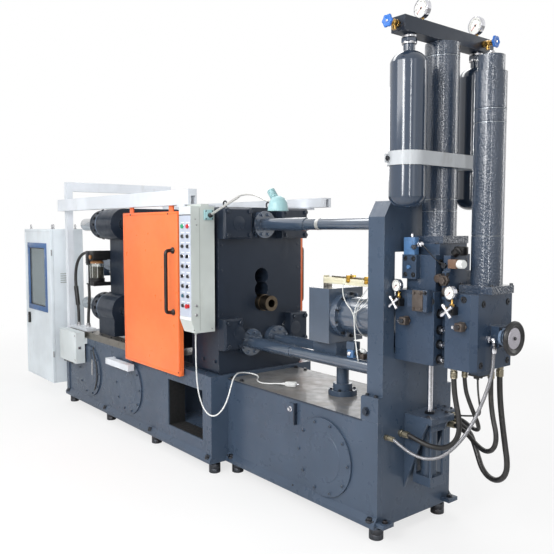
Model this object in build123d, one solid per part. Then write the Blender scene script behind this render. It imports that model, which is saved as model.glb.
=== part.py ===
from build123d import *
import math
import os

# Horizontal cold-chamber die casting machine, in millimetres.
# X runs along the machine: the injection end is +X, the clamp end and its cabinet are -X.
# Y is across the machine: the operator stands on the -Y side. Z is up from the floor.
# The model is drawn from the outer face of the injection end frame on the centreline,
# and moved at the end so that the origin is under the middle of the whole machine.

# Frames on the floor
foot_height = 80.0
foot_radius = 34.0
foot_pad_height = 14.0
foot_pad_radius = 52.0
foot_inset = 48.0
bed_length = 2634.0
bed_height = 620.0
bed_half_width = 456.0
base_length = 1429.0
base_height = 594.0
base_half_width = 322.0
frame_skirt = 24.0
skirt_thickness = 16.0
post_strip_width = 62.0
post_strip_depth = 10.0
chute_length = 488.0
chute_height = 360.0
chute_sill = 142.0
chute_inset = 128.0
shaft_side_margin = 150.0
cover_radius = 236.0
cover_thickness = 12.0
cover_bolt_ring = 212.0
cover_bolt_radius = 9.0
cover_bolt_height = 9.0
cover_bolt_count = 10
bed_cover_lift = 322.0
bed_cover_first_share = 0.48595
bed_cover_pitch_share = 0.3022
base_cover_inset = 430.0
base_cover_lift = 295.0
rail_height = 60.0
rail_width = 110.0

# Platens, tie bars and toggle
platen_half_width = 383.0
platen_height = 1189.0
platen_corner = 26.0
fixed_platen_thickness = 350.0
fixed_platen_inset = 26.0
die_space_share = 0.16325
moving_platen_share = 0.113895
toggle_space_share = 0.225892
rear_platen_share = 0.121488
rear_platen_drop = 40.0
tie_bar_radius = 60.0
tie_bar_half_pitch = 261.0
tie_bar_low = 292.0
tie_bar_pitch = 782.0
tie_bar_tail_share = 0.205011
tie_bar_fit = 0.5
nut_housing_height = 222.0
nut_housing_low_width = 160.0
nut_housing_high_width = 244.0
nut_housing_depth = 83.0
nut_housing_chamfer = 14.0
nut_bolt_radius = 13.0
nut_bolt_height = 14.0
nut_bolt_inset = 30.0
adjusting_nut_radius = 132.0
adjusting_nut_depth = 150.0
boss_radius = 142.0
t_slot_width = 28.0
t_slot_depth = 30.0
t_slot_pitch = 180.0
link_thickness = 56.0
link_radius = 72.0
link_pin_radius = 34.0
link_gap = 4.0
toggle_half_height = 270.0
toggle_half_width = 130.0
lug_reach = 105.0
knee_share = 0.42
crosshead_length = 110.0
crosshead_half_width = 40.0
crosshead_pin_height = 60.0
drive_link_thickness = 22.0
drive_link_radius = 34.0
drive_pin_radius = 18.0
drive_pin_drop = 55.0
crosshead_half_height = 90.0
crosshead_clearance = 120.0
clamp_rod_radius = 42.0
clamp_flange_radius = 165.0
clamp_flange_depth = 56.0
clamp_barrel_radius = 122.0
clamp_barrel_length = 430.0

# Injection side
shot_axis_height = 1195.0
slot_lobe_radius = 62.0
slot_lobe_pitch = 96.0
slot_lobes = 3
sleeve_radius = 56.0
sleeve_bore = 30.0
sleeve_reach = 120.0
sleeve_collar_radius = 61.0
sleeve_collar_length = 40.0
end_frame_thickness = 117.0
end_frame_half_width = 287.0
end_frame_top = 1888.0
end_frame_chamfer = 54.0
end_frame_chamfer_drop = 87.0
clamp_block_length = 130.0
clamp_block_height = 138.0
clamp_block_chamfer = 12.0
window_half_width = 200.0
window_sill_drop = 145.0
window_head_rise = 415.0
upper_rod_rise = 571.0
lower_rod_share = 0.46257
lower_rod_half_pitch = 121.0
rod_radius = 38.0
rod_collar_radius = 44.0
rod_collar_length = 500.0
rod_flange_radius = 98.0
rod_flange_depth = 46.0
rod_bolt_radius = 13.0
rod_bolt_height = 16.0
rod_bolt_ring = 76.0
rod_bolt_count = 8
rod_bolt_turn = 22.5
shot_block_start = 759.0
shot_block_end = 573.0
shot_block_half_width = 150.0
shot_block_low = 175.0
shot_block_high = 168.0
shot_rod_radius = 34.0
shot_rod_reach = 26.0
shot_flange_radius = 147.0
shot_flange_depth = 46.0
shot_barrel_radius = 118.0
shot_tail_radius = 168.0
shot_tail_depth = 60.0
sensor_rail_length = 470.0
sensor_rail_width = 52.0
sensor_rail_height = 26.0
sensor_rail_lift = 34.0
sensor_foot_length = 30.0
dog_length = 34.0
dog_height = 22.0
dog_shares = (0.45, 0.78)
support_start = 797.0
support_end = 581.0
support_half_width = 78.0
support_height = 116.0
jack_radius = 40.0
jack_flange_radius = 92.0
jack_flange_height = 34.0
jack_nut_radius = 62.0
jack_nut_height = 40.0
jack_offset = 600.0

# Hydraulic blocks and accumulators on the end frame
block_drop = 177.0
block_height = 390.0
left_block_end = 262.0
left_block_half_width = 190.0
right_block_start = 321.0
right_block_end = 500.0
right_block_half_width = 177.0
right_block_chamfer = 28.0
neck_half_width = 120.0
neck_margin = 40.0
stack_start = 44.0
stack_end = 236.0
stack_half_width = 150.0
stack_step = 60.0
stack_height = 250.0
pilot_start = 38.0
pilot_length = 96.0
pilot_lift = 60.0
pilot_height = 130.0
pilot_reach = 34.0
pilot_top_inset = 12.0
pilot_top_height = 92.0
neck_valve_setback = 8.0
neck_valve_low = -140.0
neck_valve_high = 50.0
neck_valve_height = 147.0
neck_cap_low = -128.0
neck_cap_high = 4.0
neck_cap_height = 82.0
flange_block_start = 120.0
flange_block_length = 82.0
flange_block_depth = 46.0
flange_block_low = 1325.0
flange_block_height = 70.0
accumulator_a_x = 140.0
accumulator_a_radius = 93.0
accumulator_a_height = 1064.0
accumulator_b_x = 443.0
accumulator_b_radius = 80.0
accumulator_b_height = 1113.0
accumulator_b_cap = 82.0
cap_share = 0.84
seam_a_shares = (0.16, 0.22, 0.93)
seam_b_shares = (0.26, 0.77, 0.83)
accumulator_base_height = 40.0
accumulator_base_margin = 18.0
seam_depth = 2.0
seam_height = 8.0
bottle_x = 150.0
bottle_radius = 96.0
bottle_near_y = 285.0
bottle_far_y = 291.0
bottle_length = 874.0
bottle_neck_drop = 142.0
bottle_neck_radius = 30.0
bottle_neck_top = 2672.0
bottle_collar_radius = 42.0
dome_rise_share = 0.55
dome_low_shares = (0.75, 0.14)
dome_high_shares = (0.72, 0.42)
shoulder_share = 0.6
strap_drop = 662.0
strap_height = 72.0
strap_thickness = 8.0
strap_depth = 60.0
bar_height = 76.0
bar_half_depth = 45.0
bar_near_y = 372.0
bar_far_y = 392.0
valve_body_radius = 17.0
valve_body_length = 70.0
valve_wheel_radius = 34.0
valve_wheel_depth = 16.0
valve_gap = 1.0
gauge_radius = 52.0
gauge_depth = 34.0
gauge_stem_radius = 10.0
gauge_stem_height = 26.0
small_gauge_radius = 36.0
small_gauge_depth = 26.0
small_stem_height = 38.0
small_gauge_share = 0.75
gauge_turn = -8.0
near_gauge_share = 0.64
needle_body_size = 44.0
needle_stem_radius = 8.0
needle_stem_length = 14.0
needle_left_inset = 41.0
needle_right_inset = 58.0
needle_left_drop = 68.0
needle_right_drop = 85.0
cross_arm_radius = 6.0
cross_arm_length = 66.0
cross_hub_radius = 12.0
cross_hub_depth = 16.0
wheel_hub_drop = 5.0
wheel_radius = 88.0
wheel_rim_radius = 11.0
wheel_disc_radius = 62.0
wheel_disc_depth = 14.0
wheel_spindle_radius = 15.0
wheel_boss_size = 110.0
wheel_boss_depth = 46.0
wheel_stem_length = 52.0
wheel_gap = 2.0
lower_box_size = 70.0
lower_box_height = 34.0

# Height adjusting cylinder under the blocks
lift_x = 96.0
lift_rod_radius = 15.0
lift_body_half = 62.0
lift_barrel_radius = 44.0
lift_body_low = 300.0
lift_head_height = 52.0
lift_rod_tie_radius = 9.0
lift_bracket_low = 664.0
lift_bracket_height = 34.0
lift_bracket_reach = 190.0
lift_bracket_half_width = 100.0
gusset_thickness = 16.0
gusset_drop = 400.0
gusset_share = 0.82
fitting_block_length = 92.0
fitting_block_low = 590.0
fitting_block_height = 90.0
fitting_block_y = 178.0
fitting_block_half_width = 46.0
ferrule_length = 58.0
ferrule_margin = 5.0

# Guard frame, doors and operator side
guard_post_size = 60.0
guard_rail_low = 1905.0
guard_rail_height = 110.0
guard_rail_width = 70.0
guard_rail_setback = 181.0
rear_rail_setback = 37.0
rear_rail_y = 640.0
rear_rail_height = 74.0
cross_beam_height = 90.0
cross_beam_lift = 85.0
guard_start_inset = 15.0
rear_arm_height = 60.0
rail_bracket_length = 100.0
rail_bracket_height = 16.0
door_gap_to_bed = 10.0
door_thickness = 39.0
door_length = 880.0
door_right_lap = 15.0
door_low = 648.0
door_high = 1862.0
hanger_width = 60.0
hanger_thickness = 10.0
hanger_rise = 40.0
hanger_share = 0.14
roller_radius = 16.0
roller_half_width = 10.0
track_half_width = 16.0
track_depth = 62.0
handle_radius = 15.0
handle_span = 457.0
handle_reach = 62.0
handle_low = 1119.0
handle_inset = 75.0
handle_foot_radius = 24.0
handle_foot_height = 10.0
panel_setback = 21.0
panel_length = 152.0
panel_near_y = 606.0
panel_far_y = 415.0
panel_low = 1018.0
panel_high = 1888.0
panel_slant_height = 87.0
panel_slant_depth = 34.0
button_radius = 14.5
button_height = 16.0
button_rows = 9
button_row_drop = 116.0
button_row_pitch = 79.0
button_column_pitch = 62.0
lamp_bracket_size = 70.0
lamp_bracket_depth = 26.0
lamp_height = 1830.0
lamp_neck_radius = 7.0
lamp_head_radius = 62.0
lamp_head_wall = 4.0
lamp_back_radius = 26.0
lamp_back_height = 46.0
lamp_bend = 70.0
lamp_y = -470.0
lamp_head_reach = 760.0
lamp_head_z = 1850.0
lamp_arm_reaches = (392.0, 468.0, 642.0)
lamp_arm_heights = (1952.0, 1957.0, 1912.0)

# Cabinet, junction box and small equipment at the clamp end
cabinet_gap = 207.0
cabinet_length = 770.0
cabinet_near_y = 525.0
cabinet_depth = 340.0
cabinet_low = 150.0
cabinet_high = 1730.0
cabinet_wall = 20.0
cabinet_door_thickness = 24.0
cabinet_door_gap = 3.0
window_frame_width = 52.0
window_low = 868.0
window_high = 1584.0
window_left_margin = 101.0
window_right_margin = 116.0
window_frame_proud = 8.0
glass_thickness = 5.0
cabinet_handle_height = 110.0
cabinet_handle_width = 26.0
cabinet_handle_depth = 24.0
cabinet_handle_low = 715.0
bracket_height = 80.0
bracket_width = 46.0
bracket_low = 160.0
junction_length = 401.0
junction_start = 96.0
junction_depth = 85.0
junction_standoff = 25.0
junction_foot_width = 60.0
junction_low = 468.0
junction_height = 294.0
tray_height = 25.0
tray_width = 100.0
tray_length = 390.0
guide_length = 430.0
guide_height = 52.0
guide_depth = 56.0
guide_lead = 320.0
guide_standoff = 26.0
guide_foot_length = 36.0
guide_low = 560.0
pump_y = 360.0
pump_plate = 8.0
pump_margin = 35.0
pump_radius = 70.0
pump_low = 1200.0
pump_base_height = 70.0
pump_jar_height = 170.0
pump_head_height = 90.0
pump_head_half = 74.0
jar_share = 0.9

# Hoses and the power cord
hose_a_radius = 15.0
hose_b_radius = 13.0
hose_c_radius = 9.0
hose_d_radius = 14.0
hose_e_radius = 11.0
cable_f_radius = 5.0
lube_hose_radius = 14.0
cord_radius = 5.0
bend_share = 0.45
plug_length = 74.0
plug_width = 40.0
plug_height = 30.0
plug_pin_length = 20.0
plug_pin_radius = 2.5
gland_length = 26.0
gland_radius = 11.0
gland_inset = 40.0
gland_depth = 101.0

# One overrun serves every cut
overrun = 5.0

# Places along the machine, from the outer face of the end frame
bed_top = foot_height + bed_height
base_top = foot_height + base_height
base_start = -base_length
bed_end = base_start
bed_start = bed_end - bed_length
fixed_face = bed_end - fixed_platen_inset
fixed_back = fixed_face - fixed_platen_thickness
moving_face = fixed_back - bed_length * die_space_share
moving_back = moving_face - bed_length * moving_platen_share
rear_face = moving_back - bed_length * toggle_space_share
rear_back = rear_face - bed_length * rear_platen_share
platen_top = bed_top + platen_height
tie_bar_heights = (bed_top + tie_bar_low, bed_top + tie_bar_low + tie_bar_pitch)
clamp_axis_height = bed_top + tie_bar_low + tie_bar_pitch / 2
rail_top = bed_top + rail_height
post_start = bed_start + guard_start_inset
guard_rail_end = bed_end - guard_rail_setback
rear_rail_end = bed_end - rear_rail_setback
panel_end = bed_end - panel_setback
panel_start = panel_end - panel_length
lamp_head_x = panel_end + lamp_head_reach
rail_start = post_start + guard_post_size + guard_start_inset
tray_top = rail_top + tray_height
window_sill = shot_axis_height - window_sill_drop
window_head = shot_axis_height + window_head_rise
upper_rod_height = shot_axis_height + upper_rod_rise
lower_rod_height = base_top + (shot_axis_height - base_top) * lower_rod_share
block_low = shot_axis_height - block_drop
block_high = block_low + block_height
stack_top = block_high + stack_height
bar_low = stack_top + accumulator_a_height
bottle_bottom = bar_low - bottle_length
bottle_shoulder = bar_low - bottle_neck_drop
strap_low = bar_low - strap_drop
accumulator_b_top = block_high + accumulator_b_height
wheel_hub_height = shot_axis_height - wheel_hub_drop
cabinet_end = bed_start - cabinet_gap
cabinet_start = cabinet_end - cabinet_length
door_right = fixed_back + door_right_lap
door_left = door_right - door_length
door_y = -(bed_half_width + door_gap_to_bed + door_thickness / 2)
rear_door_y = rear_rail_y + guard_rail_width / 2

pump_face = rear_back - pump_plate - 2 * pump_head_half

# Ports of the hoses: on the bulkhead block, under the blocks, on the end frame, on the pump
end_port_reach = 62.0
port_reach = fitting_block_length + ferrule_length
port_drop = block_low - ferrule_length
pump_port_reach = 26.0
tray_port_height = 34.0
elbow_x = 530.0
elbow_y = -55.0
elbow_z = 1178.0
elbow_drop = 68.0
port_a = (215.0, 610.0)
port_b = (165.0, 610.0)
port_e = (165.0, 660.0)
port_f = (215.0, 658.0)
block_ports = [
    (*port_a, hose_a_radius), (*port_b, hose_b_radius),
    (*port_e, hose_e_radius), (*port_f, cable_f_radius)]
top_ports = [
    (470.0, 100.0, hose_a_radius), (470.0, 20.0, hose_b_radius),
    (345.0, -125.0, hose_d_radius), (365.0, -60.0, hose_e_radius)]
frame_ports = [(-262.0, 590.0, hose_c_radius), (-138.0, 590.0, hose_d_radius)]
pump_ports = [(-380.0, 1505.0), (-345.0, 1465.0)]
tray_port_reaches = (103.0, 247.0)
tray_port_places = (-408.0, -372.0)
tray_ports = [(rail_start + tray_port_reaches[i], tray_port_places[i]) for i in range(2)]
tray_port_top = tray_top + tray_port_height

# Routes of the free hoses and of the power cord, point by point
hose_a_points = [
    (470, 100, port_drop), (472, 100, 890), (482, 97, 800), (500, 92, 700), (524, 84, 590),
    (538, 80, 530), (538, 80, 471), (509, 88, 421), (459, 103, 392), (401, 121, 392),
    (351, 136, 421), (318, 150, 471), (275, 172, 535), (218, 205, 588), (port_reach, *port_a)]
hose_b_points = [
    (470, 20, port_drop), (470, 20, 890), (478, 17, 815), (497, 9, 745), (520, 0, 690),
    (524, -4, 636), (500, 5, 592), (458, 22, 567), (408, 45, 562), (345, 75, 574),
    (280, 108, 595), (215, 145, 606), (port_reach, *port_b)]
hose_c_points = [
    (elbow_x, elbow_y, elbow_z - elbow_drop), (530, -58, 1040), (522, -66, 970), (505, -80, 895),
    (482, -98, 815), (455, -120, 735), (420, -146, 660), (372, -172, 592), (312, -196, 540),
    (240, -218, 520), (170, -238, 533), (110, -254, 562), (end_port_reach, -262, 590)]
hose_d_points = [
    (345, -125, port_drop), (348, -125, 900), (362, -125, 830), (380, -124, 760), (385, -122, 690),
    (360, -120, 625), (305, -120, 578), (235, -122, 560), (165, -128, 565), (108, -134, 580),
    (end_port_reach, -138, 590)]
hose_e_points = [
    (365, -60, port_drop), (370, -60, 900), (390, -52, 835), (415, -40, 770), (425, -15, 710),
    (400, 25, 670), (340, 72, 650), (275, 115, 651), (210, 150, 658), (port_reach, *port_e)]
cable_f_points = [
    (455, -75, block_low - lower_box_height), (455, -75, 938), (466, -82, 885),
    (474, -80, 835), (462, -56, 790),
    (415, 2, 757), (335, 92, 722), (240, 190, 680), (port_reach, *port_f)]
lube_near_run = [
    (253, -386, 1507), (163, -395, 1480), (93, -403, 1420), (56, -408, 1340), (47, -410, 1250),
    (59, -411, 1160), (81, -410, 1070), (97, -409, 980), (104, -408, 895), (103, -408, tray_port_top)]
lube_far_run = [
    (285, -347, 1461), (245, -350, 1415), (228, -352, 1350), (227, -353, 1270), (236, -354, 1190),
    (250, -357, 1110), (256, -362, 1030), (253, -368, 950), (247, -371, 880), (247, -372, tray_port_top)]
lube_hose_near_points = [(pump_face - pump_port_reach, *pump_ports[0])]
lube_hose_near_points += [(rail_start + x, y, z) for x, y, z in lube_near_run]
lube_hose_far_points = [(pump_face - pump_port_reach, *pump_ports[1])]
lube_hose_far_points += [(rail_start + x, y, z) for x, y, z in lube_far_run]
cord_points = [
    (-1562, -505, panel_low - gland_length), (-1562, -505, 880), (-1553, -508, 760), (-1540, -511, 650),
    (-1512, -509, 550), (-1463, -505, 475), (-1400, -498, 440), (-1335, -484, 452), (-1288, -462, 505),
    (-1270, -435, 575), (-1282, -402, 645), (-1310, -360, 702), (-1346, -300, 722), (-1378, -240, 713),
    (-1385, -180, 702), (-1352, -134, 690), (-1300, -142, 681), (-1262, -186, 680), (-1210, -226, 680),
    (-1145, -238, 680), (-1085, -222, 683), (-1035, -186, 689), (-990, -152, 689)]


def block(x0, x1, y0, y1, z0, z1):
    """A box between two corners."""
    middle = Pos((x0 + x1) / 2, (y0 + y1) / 2, (z0 + z1) / 2)
    return middle * Box(abs(x1 - x0), abs(y1 - y0), abs(z1 - z0))


def across(x, y=0, z=0):
    """A drawing plane that looks along +X, with Y to the right and Z up."""
    return Plane(origin=(x, y, z), x_dir=(0, 1, 0), z_dir=(1, 0, 0))


def rod_x(radius, x0, x1, y, z):
    """A round bar along X."""
    return Pos((x0 + x1) / 2, y, z) * Rot(0, 90, 0) * Cylinder(radius, abs(x1 - x0))


def rod_y(radius, y0, y1, x, z):
    """A round bar along Y."""
    return Pos(x, (y0 + y1) / 2, z) * Rot(90, 0, 0) * Cylinder(radius, abs(y1 - y0))


def rod_z(radius, z0, z1, x, y):
    """A round bar along Z."""
    return Pos(x, y, (z0 + z1) / 2) * Cylinder(radius, abs(z1 - z0))


def ring_points(radius, count, turn=0.0):
    """Points spaced evenly round a circle."""
    angles = [math.radians(turn + 360.0 * i / count) for i in range(count)]
    return [(radius * math.cos(a), radius * math.sin(a)) for a in angles]


def corner_points(dx, dy):
    """The four corners of a rectangle about zero."""
    return [(sx * dx, sy * dy) for sx in (-1, 1) for sy in (-1, 1)]


def fused(pieces):
    """One solid from pieces that meet."""
    whole = pieces[0]
    for piece in pieces[1:]:
        whole = whole + piece
    return whole


def apart(pieces):
    """Like pieces that don't touch, in one node."""
    return Compound(pieces)


def clamp_bed():
    """Welded box bed with the chute that drops castings out at the side."""
    body = block(bed_start, bed_end, -bed_half_width, bed_half_width, foot_height, bed_top)
    chute_end = bed_end - chute_inset
    chute_start = chute_end - chute_length
    chute_low = foot_height + chute_sill
    reach = bed_half_width + overrun
    body -= block(chute_start, chute_end, -reach, reach, chute_low, chute_low + chute_height)
    shaft_half = bed_half_width - shaft_side_margin
    body -= block(moving_face, fixed_back, -shaft_half, shaft_half, chute_low, bed_top + overrun)
    for side in (-1, 1):
        strip_y = side * bed_half_width
        for strip_end in (bed_end, bed_start + post_strip_width):
            strip_start = strip_end - post_strip_width
            out_y = strip_y + side * post_strip_depth
            body += block(strip_start, strip_end, strip_y, out_y, foot_height, bed_top)
        skirt_y = strip_y + side * frame_skirt
        body += block(bed_start, bed_end, strip_y, skirt_y, foot_height, foot_height + skirt_thickness)
    return body


def injection_base():
    """Box base under the shot end, with a slot that takes the foot of the end frame."""
    body = block(base_start, 0, -base_half_width, base_half_width, foot_height, base_top)
    body -= block(
        -end_frame_thickness, overrun, -end_frame_half_width, end_frame_half_width,
        foot_height - overrun, base_top + overrun)
    for side in (-1, 1):
        near_y = side * base_half_width
        skirt_y = near_y + side * frame_skirt
        body += block(base_start, 0, near_y, skirt_y, foot_height, foot_height + skirt_thickness)
    return body


def bolted_cover(x, y, z, side):
    """A round cover plate with its ring of bolts, on a face that looks along Y."""
    face = y + side * cover_thickness
    cover = rod_y(cover_radius, y, face, x, z)
    for dx, dz in ring_points(cover_bolt_ring, cover_bolt_count):
        cover += rod_y(cover_bolt_radius, face, face + side * cover_bolt_height, x + dx, z + dz)
    return cover


def inspection_covers():
    """Round covers on both long sides of the bed and the base."""
    pieces = []
    bed_z = foot_height + bed_cover_lift
    base_z = foot_height + base_cover_lift
    for side in (-1, 1):
        for i in range(2):
            x = bed_end - bed_length * (bed_cover_first_share + i * bed_cover_pitch_share)
            pieces.append(bolted_cover(x, side * bed_half_width, bed_z, side))
        pieces.append(bolted_cover(-base_cover_inset, side * base_half_width, base_z, side))
    return apart(pieces)


def levelling_feet():
    """Screw feet with round pads, under both frames."""
    pieces = []
    bed_y = bed_half_width - foot_inset
    base_y = base_half_width - foot_inset
    run = bed_length - 2 * foot_inset
    places = [(bed_start + foot_inset + run * i / 3, bed_y) for i in range(4)]
    places.append((-foot_inset, base_y))
    places.append((base_start + foot_inset, base_y))
    for x, y in places:
        for side in (-1, 1):
            foot = rod_z(foot_pad_radius, 0, foot_pad_height, x, side * y)
            foot += rod_z(foot_radius, foot_pad_height, foot_height, x, side * y)
            pieces.append(foot)
    return apart(pieces)


def guide_rails():
    """Two flat ways on the bed that carry the moving and rear platens."""
    pieces = []
    for side in (-1, 1):
        inner = bed_half_width - rail_width
        pieces.append(block(rail_start, moving_face, side * inner, side * bed_half_width, bed_top, rail_top))
    return apart(pieces)


def platen_blank(x0, x1, low, high):
    """A platen plate with rounded upright corners and four tie bar holes."""
    mid_z = (low + high) / 2
    outline = RectangleRounded(2 * platen_half_width, high - low, platen_corner)
    plate = extrude(across(x0, 0, mid_z) * outline, amount=x1 - x0)
    for z in tie_bar_heights:
        for side in (-1, 1):
            hole = tie_bar_radius + tie_bar_fit
            plate -= rod_x(hole, x0 - overrun, x1 + overrun, side * tie_bar_half_pitch, z)
    return plate


def fixed_platen():
    """Fixed platen: T-slots on the die face, overlapping round holes for the shot sleeve."""
    plate = platen_blank(fixed_back, fixed_face, bed_top, platen_top)
    for i in range(slot_lobes):
        z = shot_axis_height + i * slot_lobe_pitch
        plate -= rod_x(slot_lobe_radius, fixed_back - overrun, fixed_face + overrun, 0, z)
    for i in (-1, 1):
        z = clamp_axis_height + i * t_slot_pitch
        half = t_slot_width / 2
        plate -= block(
            fixed_back - overrun, fixed_back + t_slot_depth,
            -platen_half_width - overrun, -tie_bar_half_pitch / 2, z - half, z + half)
        plate -= block(
            fixed_back - overrun, fixed_back + t_slot_depth,
            tie_bar_half_pitch / 2, platen_half_width + overrun, z - half, z + half)
    return plate


def moving_platen():
    """Moving platen with T-slots and toggle lugs on its back."""
    plate = platen_blank(moving_back, moving_face, rail_top, platen_top - rear_platen_drop)
    for i in (-1, 1):
        z = clamp_axis_height + i * t_slot_pitch
        half = t_slot_width / 2
        for side in (-1, 1):
            plate -= block(
                moving_face - t_slot_depth, moving_face + overrun,
                side * tie_bar_half_pitch / 2, side * (platen_half_width + overrun), z - half, z + half)
    return plate + toggle_lugs(moving_back, -1)


def toggle_lugs(x, way):
    """Forked lugs that hold the toggle pins on a platen face."""
    pieces = []
    gap = link_thickness / 2 + link_gap
    wall = link_thickness / 2
    for z in (clamp_axis_height - toggle_half_height, clamp_axis_height + toggle_half_height):
        for y in (-toggle_half_width, toggle_half_width):
            for side in (-1, 1):
                y0 = y + side * gap
                y1 = y + side * (gap + wall)
                ear = rod_y(link_radius, y0, y1, x + way * lug_reach, z)
                ear += block(x, x + way * lug_reach, y0, y1, z - link_radius, z + link_radius)
                ear -= rod_y(link_pin_radius, y - gap - wall, y + gap + wall, x + way * lug_reach, z)
                pieces.append(ear)
    return fused(pieces)


def rear_platen():
    """Rear platen: waisted casting with round bosses at the tie bars and toggle lugs in front."""
    low, high = tie_bar_heights
    waist = tie_bar_half_pitch
    plate = block(rear_back, rear_face, -waist, waist, rail_top, high)
    for z in tie_bar_heights:
        plate += block(rear_back, rear_face, -tie_bar_half_pitch, tie_bar_half_pitch, z, z + boss_radius)
        for side in (-1, 1):
            plate += rod_x(boss_radius, rear_back, rear_face, side * tie_bar_half_pitch, z)
    foot_half = platen_half_width
    plate += block(rear_back, rear_face, -foot_half, foot_half, rail_top, low)
    for z in tie_bar_heights:
        for side in (-1, 1):
            hole = tie_bar_radius + tie_bar_fit
            plate -= rod_x(hole, rear_back - overrun, rear_face + overrun, side * tie_bar_half_pitch, z)
    hole = clamp_rod_radius + tie_bar_fit
    plate -= rod_x(hole, rear_back - overrun, rear_face + overrun, 0, clamp_axis_height)
    return plate + toggle_lugs(rear_face, 1)


def tie_bars():
    """Four tie bars from the fixed platen through to their tails behind the rear platen."""
    tail = rear_back - bed_length * tie_bar_tail_share
    pieces = []
    for z in tie_bar_heights:
        for side in (-1, 1):
            pieces.append(rod_x(tie_bar_radius, tail, fixed_face, side * tie_bar_half_pitch, z))
    return apart(pieces)


def tie_bar_nuts():
    """Square nut housings on the fixed platen and round adjusting nuts on the rear platen."""
    pieces = []
    half = nut_housing_height / 2
    front = fixed_face + nut_housing_depth
    for z, width in zip(tie_bar_heights, (nut_housing_low_width, nut_housing_high_width)):
        for side in (-1, 1):
            y = side * (platen_half_width - width / 2)
            housing = block(fixed_face, front, y - width / 2, y + width / 2, z - half, z + half)
            housing = chamfer(housing.faces().sort_by(Axis.X)[-1].edges(), nut_housing_chamfer)
            for dy, dz in corner_points(width / 2 - nut_bolt_inset, half - nut_bolt_inset):
                housing += rod_x(nut_bolt_radius, front, front + nut_bolt_height, y + dy, z + dz)
            pieces.append(housing)
            bar_y = side * tie_bar_half_pitch
            nut_start = rear_back - adjusting_nut_depth
            nut = rod_x(adjusting_nut_radius, nut_start, rear_back, bar_y, z)
            nut -= rod_x(
                tie_bar_radius + tie_bar_fit, nut_start - overrun, rear_back + overrun, bar_y, z)
            pieces.append(nut)
    return apart(pieces)


def link_plate(x0, z0, x1, z1, y, radius, pin_radius, thickness):
    """A link between two pins, rounded at both ends."""
    dx = x1 - x0
    dz = z1 - z0
    length = math.hypot(dx, dz)
    angle = math.degrees(math.atan2(dz, dx))
    middle = Pos((x0 + x1) / 2, y, (z0 + z1) / 2) * Rot(0, -angle, 0)
    bar = middle * Box(length, thickness, 2 * radius)
    half = thickness / 2
    for x, z in ((x0, z0), (x1, z1)):
        bar += rod_y(radius, y - half, y + half, x, z)
    for x, z in ((x0, z0), (x1, z1)):
        bar -= rod_y(pin_radius, y - half - overrun, y + half + overrun, x, z)
    return bar


def toggle_links():
    """Locked toggle: rear and front links in line at the top and the bottom, with their pins."""
    pieces = []
    rear_pin = rear_face + lug_reach
    front_pin = moving_back - lug_reach
    knee = rear_pin + (front_pin - rear_pin) * knee_share
    half = link_thickness / 2
    reach = half + link_gap + half
    for z in (clamp_axis_height - toggle_half_height, clamp_axis_height + toggle_half_height):
        for y in (-toggle_half_width, toggle_half_width):
            rear_link = link_plate(rear_pin, z, knee, z, y, link_radius, link_pin_radius, link_thickness)
            front_link = block(
                knee + link_radius + link_gap, front_pin, y - half, y + half,
                z - link_radius, z + link_radius)
            front_link += rod_y(link_radius, y - half, y + half, front_pin, z)
            front_link -= rod_y(link_pin_radius, y - reach, y + reach, front_pin, z)
            for side in (-1, 1):
                y0 = y + side * (half + link_gap)
                y1 = y + side * reach
                cheek = rod_y(link_radius, y0, y1, knee, z)
                cheek += block(
                    knee, knee + 2 * link_radius + link_gap, y0, y1, z - link_radius, z + link_radius)
                web_start = knee + link_radius + link_gap
                cheek += block(
                    web_start, knee + 2 * link_radius + link_gap, y, y1, z - link_radius, z + link_radius)
                cheek -= rod_y(link_pin_radius, y0 - side * overrun, y1 + side * overrun, knee, z)
                front_link += cheek
            link = rear_link + rod_y(link_pin_radius, y - reach, y + reach, rear_pin, z)
            link += rod_y(link_pin_radius, y - reach, y + reach, knee, z)
            link += front_link + rod_y(link_pin_radius, y - reach, y + reach, front_pin, z)
            pieces.append(link + drive_link((rear_pin + knee) / 2, z, y))
    return apart(pieces)


def drive_link(x, z, y):
    """Short link from the crosshead's pin out to a rear toggle link, with the pin that joins them."""
    up = 1 if z > clamp_axis_height else -1
    side = 1 if y > 0 else -1
    plate_y = side * (crosshead_half_width + link_gap + drive_link_thickness / 2)
    cross_x = rear_face + crosshead_clearance + crosshead_length / 2
    cross_z = clamp_axis_height + up * crosshead_pin_height
    pin_z = z - up * drive_pin_drop
    plate = link_plate(
        cross_x, cross_z, x, pin_z, plate_y, drive_link_radius, drive_pin_radius, drive_link_thickness)
    return plate + rod_y(drive_pin_radius, plate_y - side * drive_link_thickness / 2, y, x, pin_z)


def crosshead():
    """Crosshead on the end of the clamp cylinder's rod, with the pins of the drive links."""
    start = rear_face + crosshead_clearance
    end = start + crosshead_length
    half_y = crosshead_half_width
    pin_reach = crosshead_half_width + link_gap + drive_link_thickness
    head = block(
        start, end, -half_y, half_y,
        clamp_axis_height - crosshead_half_height, clamp_axis_height + crosshead_half_height)
    head += rod_x(clamp_rod_radius, rear_back, start, 0, clamp_axis_height)
    for up in (-1, 1):
        pin_z = clamp_axis_height + up * crosshead_pin_height
        head += rod_y(drive_pin_radius, -pin_reach, pin_reach, start + crosshead_length / 2, pin_z)
    return head


def clamp_cylinder():
    """Clamp cylinder behind the rear platen, with its rod and crosshead between the toggles."""
    flange_end = rear_back - clamp_flange_depth
    barrel_end = flange_end - clamp_barrel_length
    body = rod_x(clamp_flange_radius, flange_end, rear_back, 0, clamp_axis_height)
    body += rod_x(clamp_barrel_radius, barrel_end, flange_end, 0, clamp_axis_height)
    cap_half = clamp_barrel_radius + link_gap
    body += block(
        barrel_end - clamp_flange_depth, barrel_end, -cap_half, cap_half,
        clamp_axis_height - cap_half, clamp_axis_height + cap_half)
    return body + crosshead()


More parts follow.
